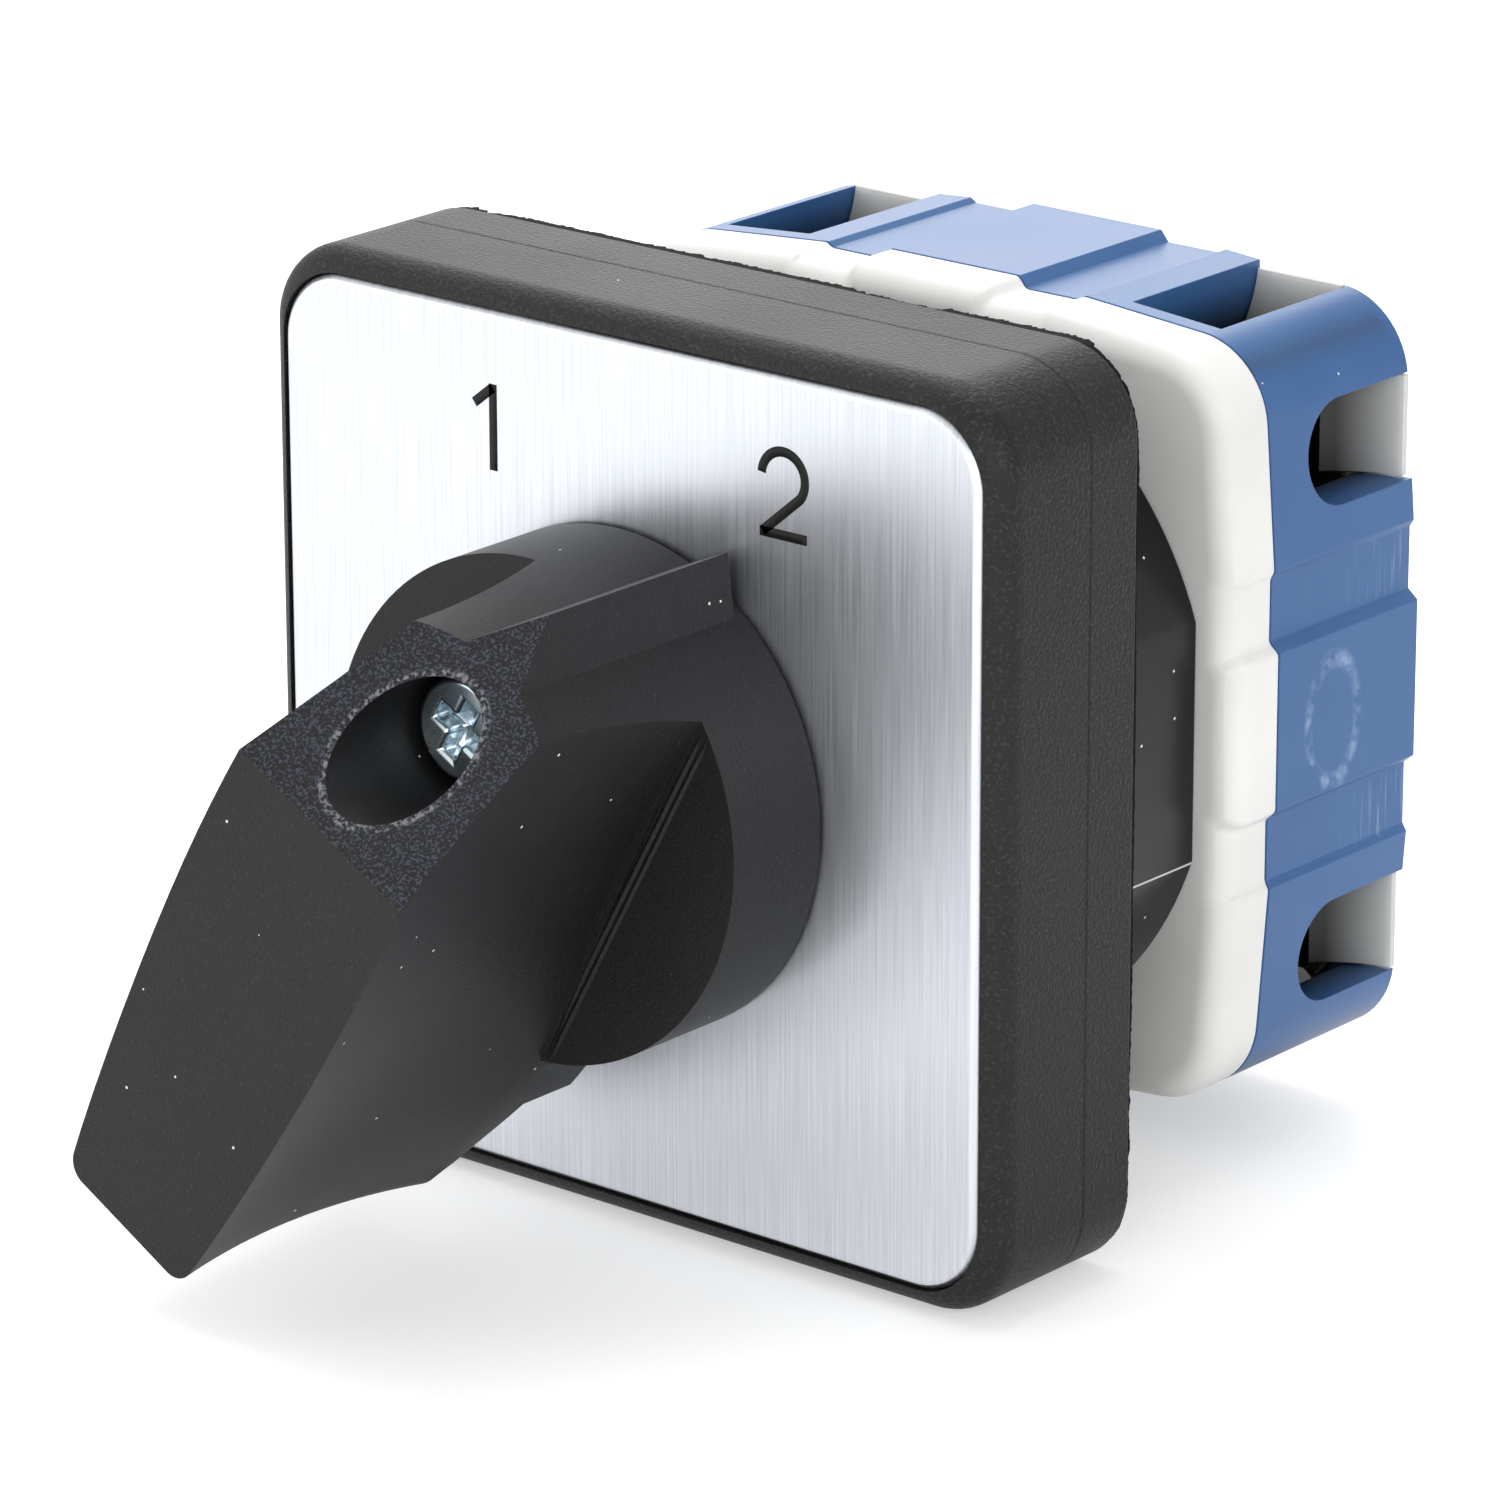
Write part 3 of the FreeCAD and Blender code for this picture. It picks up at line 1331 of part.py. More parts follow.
OPEN = lift
CLOSED = ZERO
fixed_in_place = [
    base_plate(), escutcheon_frame(), label_plate(), fixing_screws(), latch_housing(),
    deck_nuts(), deck_bolts(), mounting_plate(), contact_housing(), end_cover(), fixed_tips(),
    clamp_washers(), terminal_screws(),
    detent_spring("right_detent_spring", 1), detent_spring("left_detent_spring", -1),
    contact_spring("upper_contact_spring", 1, OPEN), contact_spring("lower_contact_spring", -1, CLOSED),
    fixed_contact("upper_right_contact", 1, 1), fixed_contact("upper_left_contact", -1, 1),
    fixed_contact("lower_right_contact", 1, -1), fixed_contact("lower_left_contact", -1, -1),
    plunger("upper_plunger", 1, OPEN), plunger("lower_plunger", -1, CLOSED),
    contact_bridge("upper_bridge", 1, OPEN), contact_bridge("lower_bridge", -1, CLOSED),
    bridge_tips("upper_bridge_tips", 1, OPEN), bridge_tips("lower_bridge_tips", -1, CLOSED),
]
turned_with_lever = [
    handle(), handle_carrier(), handle_screw(), carrier_clip(), shaft(), stop_plate(), star_wheel(),
    contact_cam(),
]
doc.recompute()
for piece in fixed_in_place:
    piece.Placement = STAND * piece.Placement
for piece in turned_with_lever:
    piece.Placement = STAND * Placement(Vector(0, 0, 0), Rotation(Vector(0, 0, 1), -D["lever_angle"].value))
write_parts(fixed_in_place + turned_with_lever)
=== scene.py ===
import math

import bmesh
import bpy
import numpy as np
from mathutils import Matrix, Vector


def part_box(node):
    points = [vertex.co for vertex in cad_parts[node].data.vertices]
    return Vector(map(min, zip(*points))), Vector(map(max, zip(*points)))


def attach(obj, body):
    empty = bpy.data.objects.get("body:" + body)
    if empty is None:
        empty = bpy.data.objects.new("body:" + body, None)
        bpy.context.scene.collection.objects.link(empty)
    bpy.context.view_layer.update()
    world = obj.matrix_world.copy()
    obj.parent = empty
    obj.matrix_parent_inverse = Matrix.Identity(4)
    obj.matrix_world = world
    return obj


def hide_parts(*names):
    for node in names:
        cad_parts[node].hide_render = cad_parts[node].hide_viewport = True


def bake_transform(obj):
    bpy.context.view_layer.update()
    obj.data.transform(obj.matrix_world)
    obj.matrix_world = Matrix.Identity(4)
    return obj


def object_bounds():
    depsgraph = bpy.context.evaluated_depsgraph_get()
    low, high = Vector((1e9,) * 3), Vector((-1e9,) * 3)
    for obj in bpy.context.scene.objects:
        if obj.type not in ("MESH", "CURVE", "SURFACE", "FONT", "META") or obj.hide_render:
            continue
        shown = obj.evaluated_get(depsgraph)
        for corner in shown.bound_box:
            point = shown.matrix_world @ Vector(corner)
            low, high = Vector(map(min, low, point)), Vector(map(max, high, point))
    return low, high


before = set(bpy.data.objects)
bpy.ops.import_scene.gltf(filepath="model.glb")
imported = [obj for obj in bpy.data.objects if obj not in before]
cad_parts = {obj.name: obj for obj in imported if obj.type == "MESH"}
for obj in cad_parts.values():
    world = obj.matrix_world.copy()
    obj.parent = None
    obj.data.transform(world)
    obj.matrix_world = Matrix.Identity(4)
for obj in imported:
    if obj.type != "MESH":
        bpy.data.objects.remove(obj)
cad_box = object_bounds()

# Base plate: the square black ABS plate that lies on the panel.
# It is injection moulded with a fine spark-eroded grain, and the frame snaps over its rim.
# A fin of moulding flash stands along its rear edge, where the mould's halves met.

mm = 0.001


def linear(code):
    """An sRGB hex colour as linear RGBA: c / 12.92 near black, else ((c + 0.055) / 1.055) ** 2.4."""
    parts = [int(code[i:i + 2], 16) / 255 for i in (1, 3, 5)]
    return [c / 12.92 if c <= 0.04045 else ((c + 0.055) / 1.055) ** 2.4 for c in parts] + [1]


def add(tree, kind, sockets=None, **settings):
    """Adds a shader node, gives it its settings, and links or sets its sockets.

    A Mix of colours takes its factor at socket 0 and its colours at 6 and 7, and gives the result at 2.
    """
    made = tree.nodes.new("ShaderNode" + kind)
    for name, value in settings.items():
        setattr(made, name, value)
    for name, value in (sockets or {}).items():
        if isinstance(value, bpy.types.NodeSocket):
            tree.links.new(value, made.inputs[name])
        else:
            made.inputs[name].default_value = value
    return made


def moulded(name, tone, pale_tone, roughness, grain=0.2, depth=0.02, cloud=9, shine=0.25):
    """Moulded plastic: two close tones in soft clouds, and the tool's grain as bump.

    The grain's width and depth and the clouds' width are in mm. The shine is the specular level.
    """
    material = bpy.data.materials.new(name)
    material.use_nodes = True
    tree = material.node_tree
    shader = tree.nodes["Principled BSDF"]
    place = add(tree, "TexCoord").outputs["Object"]
    clouds = add(tree, "TexNoise", {"Vector": place, "Scale": 1 / (cloud * mm), "Detail": 4})
    drift = clouds.outputs["Fac"]
    share = add(tree, "MapRange", {"Value": drift, "From Min": 0.35, "From Max": 0.7}).outputs[0]
    colour = add(tree, "Mix", {0: share, 6: linear(tone), 7: linear(pale_tone)}, data_type="RGBA")
    tree.links.new(colour.outputs[2], shader.inputs["Base Color"])
    sheen = add(tree, "MapRange", {"Value": drift, "To Min": roughness - 0.05, "To Max": roughness + 0.07})
    tree.links.new(sheen.outputs[0], shader.inputs["Roughness"])
    pits = add(tree, "TexNoise", {"Vector": place, "Scale": 1 / (grain * mm), "Detail": 2})
    bump = add(tree, "Bump", {"Height": pits.outputs["Fac"], "Distance": depth * mm, "Strength": 0.7})
    tree.links.new(bump.outputs[0], shader.inputs["Normal"])
    shader.inputs["Specular IOR Level"].default_value = shine
    return material


def within(tree, value, low, high, soft):
    """1 where a value lies between two limits, falling to 0 over a soft stretch outside them."""
    rise = add(tree, "MapRange", {"Value": value, "From Min": low - soft, "From Max": low})
    fall = add(tree, "MapRange", {"Value": value, "From Min": high, "From Max": high + soft,
                                  "To Min": 1.0, "To Max": 0.0})
    return add(tree, "Math", {0: rise.outputs[0], 1: fall.outputs[0]}, operation="MULTIPLY").outputs[0]


def patches(tree, size, low, high):
    """Cloudy patches of a size in mm: 0 where the noise is under low, 1 where it is over high."""
    place = add(tree, "TexCoord").outputs["Object"]
    noise = add(tree, "TexNoise", {"Vector": place, "Scale": 1 / (size * mm), "Detail": 4}).outputs["Fac"]
    return add(tree, "MapRange", {"Value": noise, "From Min": low, "From Max": high}).outputs[0]


def reach(tree, centre, stretch=(1, 1, 1)):
    """The distance of a place on the piece from a point in mm, once both are stretched along the axes."""
    place = add(tree, "TexCoord").outputs["Object"]
    moved = add(tree, "VectorMath", {0: place, 1: stretch}, operation="MULTIPLY")
    point = [part * factor * mm for part, factor in zip(centre, stretch)]
    return add(tree, "VectorMath", {0: moved.outputs[0], 1: point}, operation="DISTANCE").outputs["Value"]


def tint(material, tone, *masks):
    """Lays another colour over a material's own, as far as the product of the masks says."""
    tree = material.node_tree
    share = masks[0]
    for mask in masks[1:]:
        share = add(tree, "Math", {0: share, 1: mask}, operation="MULTIPLY").outputs[0]
    target = tree.nodes["Principled BSDF"].inputs["Base Color"]
    over = add(tree, "Mix", {0: share, 6: target.links[0].from_socket, 7: linear(tone)}, data_type="RGBA")
    tree.links.new(over.outputs[2], target)


def dust(material, spacing, radius, share, tone="#d8d8d6"):
    """Pale specks: space is cut into cells a spacing apart, and a share of them holds one ball each.

    The spacing and the balls' radius are in mm.
    """
    tree = material.node_tree
    place = add(tree, "TexCoord").outputs["Object"]
    cells = add(tree, "TexVoronoi", {"Vector": place, "Scale": 1 / (spacing * mm)})
    near = add(tree, "Math", {0: cells.outputs["Distance"], 1: radius / spacing}, operation="LESS_THAN")
    lot = add(tree, "SeparateColor", {0: cells.outputs["Color"]})
    picked = add(tree, "Math", {0: lot.outputs[0], 1: share}, operation="LESS_THAN")
    tint(material, tone, near.outputs[0], picked.outputs[0])


def merged_copy(node, piece):
    """A new mesh from a CAD node: its loose triangles merged, and flat stretches made one face.

    The CAD file's own normals go, because they would hide the rounding of the edges.
    """
    shape = bmesh.new()
    shape.from_mesh(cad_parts[node].data)
    bmesh.ops.remove_doubles(shape, verts=shape.verts, dist=0.001 * mm)
    bmesh.ops.dissolve_limit(shape, angle_limit=math.radians(0.5), verts=shape.verts, edges=shape.edges)
    mesh = bpy.data.meshes.new(piece)
    shape.to_mesh(mesh)
    shape.free()
    for layer in ("custom_normal", "sharp_edge", "sharp_face"):
        if layer in mesh.attributes:
            mesh.attributes.remove(mesh.attributes[layer])
    return mesh


def show(mesh, body, material):
    """Puts a finished mesh in the scene as a piece that moves with a body, if one is named."""
    piece = bpy.data.objects.new(mesh.name, mesh)
    bpy.context.scene.collection.objects.link(piece)
    mesh.materials.clear()
    mesh.materials.append(material)
    mesh.shade_smooth()
    if body:
        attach(piece, body)
    return piece


def round_edges(piece, radius, segments=3):
    """The small radius, in mm, that a mould or a press leaves on every edge sharper than 30 degrees."""
    bevel = piece.modifiers.new("edge_round", "BEVEL")
    bevel.width = radius * mm
    bevel.segments = segments
    bevel.limit_method = "ANGLE"
    bevel.angle_limit = math.radians(30)
    bevel.harden_normals = True
    return piece


def thicken(piece, thickness):
    """Gives a thin surface a wall, in mm, half of it to each side."""
    wall = piece.modifiers.new("wall", "SOLIDIFY")
    wall.thickness = thickness * mm
    wall.offset = 0


def square_path(half, corner, spacing):
    """Points round a square about the y axis whose corners are quarter circles: x and z, in mm.

    Four straight runs and four arcs of the corner's radius follow each other, evenly divided.
    """
    flat = half - corner
    straight_run = np.linspace(-flat, flat, int(2 * flat / spacing), endpoint=False)
    turn = np.linspace(0, math.pi / 2, int(corner * math.pi / 2 / spacing), endpoint=False)
    side = np.stack([np.full_like(straight_run, half), straight_run], 1)
    bend = flat + corner * np.stack([np.cos(turn), np.sin(turn)], 1)
    quarter = np.concatenate([side, bend])
    turns = [quarter @ np.array([[c, s], [-s, c]]) for c, s in ((1, 0), (0, 1), (-1, 0), (0, -1))]
    return np.concatenate(turns)


def grid_mesh(name, points, closed=False):
    """A mesh from rows and columns of points in mm; closed joins the last row to the first."""
    rows, columns = points.shape[:2]
    index = np.arange(rows * columns).reshape(rows, columns)
    below = np.roll(index, -1, 0) if closed else index[1:]
    above = index if closed else index[:-1]
    faces = np.stack([above[:, :-1], below[:, :-1], below[:, 1:], above[:, 1:]], -1).reshape(-1, 4)
    mesh = bpy.data.meshes.new(name)
    mesh.from_pydata((points.reshape(-1, 3) * mm).tolist(), [], faces.tolist())
    return mesh


# Spark-eroded ABS: a deep black whose grain breaks every highlight into a soft haze. The real grain
# is nearer 0.1 mm wide, and is drawn at 0.22 mm to show. The top edge has one rubbed, blacker patch.
black_abs = moulded("grained_black_abs", "#111112", "#181819", 0.5, grain=0.22, depth=0.1)
rub_centre, rub_radius, rub_fade = (-9.3, -5.0, 23.9), 1.6, 1.2
tree = black_abs.node_tree
rubbed = within(tree, reach(tree, rub_centre), low=0, high=rub_radius * mm, soft=rub_fade * mm)
tint(black_abs, "#050505", rubbed, patches(tree, size=0.5, low=0.56, high=0.62))
tint(black_abs, "#3c3c3c", patches(tree, size=0.2, low=0.55, high=0.66), 0.5)
dust(black_abs, spacing=2.2, radius=0.07, share=0.3)
plate_mesh = merged_copy("base_plate", "back_plate")
plate = round_edges(show(plate_mesh, "housing", black_abs), radius=0.2)
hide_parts("base_plate")

# The flash is a thin wall on a path round the plate, three points high, with its foot sunk into the
# plate. Its top edge is a running mean of random heights, stretched and clipped between two limits,
# plus small random teeth. Both are larger along the upper side, where the mould closed worst.
flash_inset, flash_corner, flash_spacing = 0.12, 4.4, 0.16
flash_foot, flash_wall = -0.3, 0.06
wave_low, wave_high, tooth_height = 0.08, 0.34, 0.14
wave_points, wave_start, wave_stretch = 31, 0.42, 4
side_level, upper_level = 19.6, 23.6
side_share, upper_share = 0.45, 1.7
chance = np.random.default_rng(7)
plate_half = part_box("base_plate")[1][0] / mm
rim = square_path(plate_half - flash_inset, flash_corner, flash_spacing)
swell = np.convolve(chance.random(len(rim)), np.ones(wave_points) / wave_points, "same")
wave = np.clip((swell - wave_start) * wave_stretch, wave_low, wave_high)
teeth = chance.random(len(rim)) ** 2 * tooth_height
fin = (wave + teeth) * np.interp(rim[:, 1], (side_level, upper_level), (side_share, upper_share))
levels = np.stack([np.full(len(rim), flash_foot), np.zeros(len(rim)), fin])
fin_points = np.stack([np.stack([rim[:, 0], level, rim[:, 1]], 1) for level in levels], 1)

# Torn ABS: the flash's raw edge throws no highlight, and is blacker than the moulded faces.
torn_abs = moulded("torn_black_abs", "#050505", "#0a0a0a", 0.85, shine=0.1)
flash = show(grid_mesh("moulding_flash", fin_points, closed=True), "housing", torn_abs)
thicken(flash, flash_wall)

# Escutcheon frame: the black ABS frame with the rounded front edge and the label's seat.
# Same tool grain as the base plate; two clips hold it to the base plate's rim.

bezel_mesh = merged_copy("escutcheon_frame", "bezel")
bezel = round_edges(show(bezel_mesh, "housing", black_abs), radius=0.16)
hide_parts("escutcheon_frame")

# Label plate: anodised aluminium sheet, brushed from top to bottom, with a bevelled edge.
# The two positions of the switch are printed on it in black ink.


def brushed(name, tone, pale_tone, roughness, line_width=0.12, line_length=9):
    """Brushed sheet: long upright lines, sized in mm, in the tone, the roughness and the relief."""
    material = bpy.data.materials.new(name)
    material.use_nodes = True
    tree = material.node_tree
    shader = tree.nodes["Principled BSDF"]
    shader.inputs["Metallic"].default_value = 1
    shader.inputs["Anisotropic"].default_value = 0.5
    tangent = add(tree, "Tangent", direction_type="RADIAL", axis="Z")
    tree.links.new(tangent.outputs[0], shader.inputs["Tangent"])
    place = add(tree, "TexCoord").outputs["Object"]
    stretch = (1 / (line_width * mm), 1, 1 / (line_length * mm))
    drawn = add(tree, "Mapping", {"Vector": place, "Scale": stretch})
    lines = add(tree, "TexNoise", {"Vector": drawn.outputs[0], "Scale": 1, "Detail": 4}).outputs["Fac"]
    share = add(tree, "MapRange", {"Value": lines, "From Min": 0.3, "From Max": 0.7}).outputs[0]
    colour = add(tree, "Mix", {0: share, 6: linear(tone), 7: linear(pale_tone)}, data_type="RGBA")
    tree.links.new(colour.outputs[2], shader.inputs["Base Color"])
    sheen = add(tree, "MapRange", {"Value": lines, "To Min": roughness - 0.06, "To Max": roughness + 0.06})
    tree.links.new(sheen.outputs[0], shader.inputs["Roughness"])
    bump = add(tree, "Bump", {"Height": lines, "Distance": 0.003 * mm, "Strength": 0.4})
    tree.links.new(bump.outputs[0], shader.inputs["Normal"])
    return material


def straight(start, end, count=8):
    """Points evenly along a line: start times one minus the share, plus end times the share."""
    share = np.linspace(0, 1, count)[:, None]
    return np.array(start) * (1 - share) + np.array(end) * share


def ribbon(path, width):
    """A flat strip along a path: each point moves half the width along the path's normal, both ways."""
    along = np.gradient(path, axis=0)
    along /= np.linalg.norm(along, axis=1, keepdims=True)
    across = np.stack([-along[:, 1], along[:, 0]], 1) * width / 2
    return np.stack([path + across, path - across], 1)


# Brushed, anodised aluminium: fine upright lines that draw the light out into tall silky streaks.
# The real lines are finer than 0.1 mm, and are drawn 0.12 mm apart to show.
aluminium = brushed("brushed_anodised_aluminium", "#c8ccd3", "#dee1e6", 0.36)
label_mesh = merged_copy("label_plate", "label")
label = round_edges(show(label_mesh, "housing", aluminium), radius=0.16)
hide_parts("label_plate")

# Printing ink: flat and nearly black, without the metal's streaks.
ink = moulded("black_printing_ink", "#0c0c0c", "#121212", 0.6, depth=0.002)
ink_thickness = 0.02
figure_height, figure_width, stroke = 4.5, 3.0, 0.52
flag_width, flag_drop = 1.25, 1.15
figure_1_place, figure_2_place = (-8.4, 14.4), (9.0, 14.4)
label_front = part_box("label_plate")[0][1] / mm

# The 2 is an arc from its left end over the top, a slant down to the left, and a straight foot.
bow = figure_width / 2 - stroke / 4
bow_turn = np.radians(np.linspace(175, -38, 26))
bow_centre = (figure_width / 2, figure_height - bow)
bow_points = bow_centre + bow * np.stack([np.cos(bow_turn), np.sin(bow_turn)], 1)
slant = straight(bow_points[-1], (stroke / 3, stroke / 2), 10)[1:]
flag = straight((-flag_width, figure_height - flag_drop), (0, figure_height - stroke / 3))
strokes = {
    "figure_1_stem": (figure_1_place, straight((0, 0), (0, figure_height))),
    "figure_1_flag": (figure_1_place, flag),
    "figure_2_bow": (figure_2_place, np.concatenate([bow_points, slant])),
    "figure_2_foot": (figure_2_place, straight((0, stroke / 2), (figure_width, stroke / 2))),
}
for name, (corner, path) in strokes.items():
    strip = ribbon(path, stroke) + np.array(corner)
    strip_points = np.stack([strip[..., 0], np.full(strip.shape[:2], label_front), strip[..., 1]], -1)
    thicken(show(grid_mesh(name, strip_points), "housing", ink), ink_thickness)

# Handle: one black ABS moulding of disc, lever, pointer and the deep well of its screw.
# The lever's front and sides are finely polished; its slope is spark-eroded to a coarse grain.

# Satin ABS: smooth dark faces with a soft sheen, while the slope's grain glitters a cold grey. The
# well's mouth is worn pale by the screwdriver, and its inside is painted nearly black as painted shade.
handle_abs = moulded("satin_black_abs", "#101011", "#161617", 0.46, grain=0.16, depth=0.03)
rest_turn, slope_tilt = math.radians(30), math.radians(45)
slope_out = (math.sin(rest_turn) * math.sin(slope_tilt), -math.cos(slope_tilt),
             math.cos(rest_turn) * math.sin(slope_tilt))
well_centre, shaded_well_radius, mouth_inside, mouth_outside = (4.45, 0, 7.71), 2.9, 3.1, 3.3
tree = handle_abs.node_tree
normal = add(tree, "TexCoord").outputs["Normal"]
facing = add(tree, "VectorMath", {0: normal, 1: slope_out}, operation="DOT_PRODUCT").outputs["Value"]
on_slope = within(tree, facing, low=0.985, high=2, soft=0.1)
tint(handle_abs, "#3c404c", on_slope, patches(tree, size=0.14, low=0.5, high=0.62))
tint(handle_abs, "#34343a", patches(tree, size=0.14, low=0.6, high=0.7), 0.6)
well_reach = reach(tree, well_centre, stretch=(1, 0, 1))
mouth = within(tree, well_reach, low=mouth_inside * mm, high=mouth_outside * mm, soft=0.12 * mm)
tint(handle_abs, "#6e6f74", mouth, on_slope, patches(tree, size=0.25, low=0.48, high=0.6))
# Painted shade: the walls inside the screw's well are darkened nearly to black.
tint(handle_abs, "#040404", within(tree, well_reach, low=-1, high=shaded_well_radius * mm, soft=0.2 * mm), 0.8)
dust(handle_abs, spacing=1.9, radius=0.08, share=0.6)
handle_mesh = merged_copy("handle", "lever_handle")
handle = round_edges(show(handle_mesh, "rotor", handle_abs), radius=0.3)
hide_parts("handle")

# Foot bead: the double bead that runs along the lever's foot, where it meets the disc.
# It is moulded with the handle, 0.1 mm high, and turns with it.

# A point lies a run along the foot's line and a spread across it. It stands out of the disc by the
# squared sine of the spread over two half waves, and the bead fades out at both of its ends.
disc_front = -17.65
bead_start, bead_end = np.array((11.02, 6.38)), np.array((0.56, -12.77))
bead_width, bead_height, bead_inset, bead_sink, end_slope = 0.8, 0.11, 0.1, 0.01, 12
run = np.linspace(0, 1, 40)[:, None, None]
spread = np.linspace(0, bead_width, 17)[None, :, None]
bead_line = bead_end - bead_start
sideways = np.array([-bead_line[1], bead_line[0]]) / np.linalg.norm(bead_line)
flat_points = bead_start + run * bead_line + (spread - bead_inset) * sideways
fade = np.minimum(1, end_slope * np.minimum(run, 1 - run))
bulge = bead_height * np.sin(2 * math.pi * spread / bead_width) ** 2 * fade
front = (disc_front + bead_sink - bulge)[..., 0]
bead_points = np.stack([flat_points[..., 0], front, flat_points[..., 1]], -1)
show(grid_mesh("foot_bead", bead_points), "rotor", handle_abs)

# Latch housing: the round housing behind the panel, with four flats, that holds the detent.
# It is moulded of black ABS in a polished tool, and the screws through the panel go into it.

# Polished ABS: black with bright, clear reflections, on which dust and a thin pale line stand out: a
# painted highlight along the mould's parting line.
gloss_abs = moulded("glossy_black_abs", "#0c0c0d", "#131314", 0.24, grain=0.6, depth=0.01)
parting_highlight_low, parting_highlight_high = -6.5, -6.4
dust(gloss_abs, spacing=1.4, radius=0.08, share=0.8)
tree = gloss_abs.node_tree
level = add(tree, "SeparateXYZ", {0: add(tree, "TexCoord").outputs["Object"]}).outputs["Z"]
# Painted highlight: a thin pale band at one height, where the parting line catches the light.
tint(gloss_abs, "#c8c8c6", within(tree, level, parting_highlight_low * mm, parting_highlight_high * mm, soft=0.03 * mm))
drum_mesh = merged_copy("latch_housing", "latch_drum")
drum = round_edges(show(drum_mesh, "housing", gloss_abs), radius=0.5, segments=4)
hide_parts("latch_housing")

# Mounting plate: white glass-filled polyamide with the deck's outline.
# The long bolts pull it between the latch housing and the deck.

# White polyamide: a milky, satin white with soft highlights on its broad rounds and a few dark specks.
white_pa = moulded("white_polyamide", "#dedddb", "#e8e7e4", 0.42, grain=0.3, depth=0.006, shine=0.5)
dust(white_pa, spacing=2.6, radius=0.06, share=0.3, tone="#6a6a66")
white_mesh = merged_copy("mounting_plate", "white_plate")
white_plate = round_edges(show(white_mesh, "housing", white_pa), radius=0.25)
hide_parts("mounting_plate")

# Contact housing: the deck of blue polyamide that holds contacts, terminals and wire entries.
# Its grooves show drag marks from the mould, and its raised ribs are scuffed.


def square_reach(tree):
    """A place's y, its |z|, and the larger of |x| and |z|: half the side of the square it lies on."""
    axes = add(tree, "SeparateXYZ", {0: add(tree, "TexCoord").outputs["Object"]})
    wide = add(tree, "Math", {0: axes.outputs["X"]}, operation="ABSOLUTE").outputs[0]
    tall = add(tree, "Math", {0: axes.outputs["Z"]}, operation="ABSOLUTE").outputs[0]
    outward = add(tree, "Math", {0: wide, 1: tall}, operation="MAXIMUM").outputs[0]
    return axes.outputs["Y"], tall, outward


# Blue polyamide: a clear mid blue with a satin sheen, paler where it is scuffed in a ring or was
# dragged in the mould, and painted nearly black in the depth of its openings, as painted shade.
blue_pa = moulded("blue_polyamide", "#29568c", "#386496", 0.4, grain=0.3, depth=0.006, cloud=14, shine=0.45)
scuff_centre, scuff_inside, scuff_outside = (21.2, 20.5, -0.5), 3.3, 3.5
groove_low, groove_high, drag_front = 5.2, 7.9, 25
shaded_opening_depth, opening_rear = 17.6, 26.9
tree = blue_pa.node_tree
depth, tall, outward = square_reach(tree)
scuff_reach = reach(tree, scuff_centre, stretch=(1, 1.6, 1))
scuffed = within(tree, scuff_reach, low=scuff_inside * mm, high=scuff_outside * mm, soft=0.6 * mm)
tint(blue_pa, "#9db4d6", scuffed, patches(tree, size=0.9, low=0.44, high=0.68), 0.6)
place = add(tree, "TexCoord").outputs["Object"]
drag = add(tree, "Mapping", {"Vector": place, "Scale": (1 / (4 * mm), 1 / (0.25 * mm), 1 / (5 * mm))})
lines = add(tree, "TexNoise", {"Vector": drag.outputs[0], "Scale": 1, "Detail": 3}).outputs["Fac"]
streak = add(tree, "MapRange", {"Value": lines, "From Min": 0.54, "From Max": 0.68, "To Max": 0.4})
in_groove = within(tree, tall, low=groove_low * mm, high=groove_high * mm, soft=0.5 * mm)
rearmost = within(tree, depth, low=drag_front * mm, high=1, soft=3 * mm)
tint(blue_pa, "#8fa6cc", streak.outputs[0], in_groove, rearmost)
# Painted shade: the deck's walls deep inside its openings, in front of the cover, go nearly black.
before_cover = within(tree, depth, low=0, high=opening_rear * mm, soft=0.6 * mm)
inside = within(tree, outward, low=0, high=shaded_opening_depth * mm, soft=2.2 * mm)
tint(blue_pa, "#0a1220", inside, before_cover)
dust(blue_pa, spacing=2.4, radius=0.07, share=0.4)
deck_mesh = merged_copy("contact_housing", "blue_deck")
deck = round_edges(show(deck_mesh, "housing", blue_pa), radius=0.14)
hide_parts("contact_housing")

# Four small flat webs close the deck's corners beside the cover's tongues. Each is one square of a
# grid, mirrored by its corner's signs.
web_near, web_far, web_rear, web_wall = 16.2, 18.4, 27.4, 0.3
web_square = np.array([[(web_near, web_near), (web_far, web_near)],
                       [(web_near, web_far), (web_far, web_far)]])
corners = {"upper_right": (1, 1), "upper_left": (-1, 1), "lower_right": (1, -1), "lower_left": (-1, -1)}
for name, signs in corners.items():
    flat = web_square * signs
    web_points = np.stack([flat[..., 0], np.full((2, 2), web_rear), flat[..., 1]], -1)
    thicken(show(grid_mesh(name + "_web", web_points), "housing", blue_pa), web_wall)

# Rear cover: the white polyamide plate whose hollow tongues lead the wires to the terminals.
# The chutes are painted darker towards their front and their inner ends, as painted shade.

# Greyed polyamide: a dull light grey that falls off smoothly to near black inside the wire entries, as
# painted shade.
chute_pa = moulded("greyed_polyamide", "#c8c9c8", "#cdcecc", 0.45, grain=0.3, depth=0.006, shine=0.5)
terminal_rear, chute_inside, plate_front = 21.5, 17.1, 27.6
tree = chute_pa.node_tree
depth, _, outward = square_reach(tree)
shade_far_in = within(tree, outward, low=0, high=chute_inside * mm, soft=3.0 * mm)
inner = add(tree, "Math", {0: shade_far_in, 1: 0.6}, operation="POWER").outputs[0]
before_plate = within(tree, depth, low=0, high=plate_front * mm, soft=0.1 * mm)
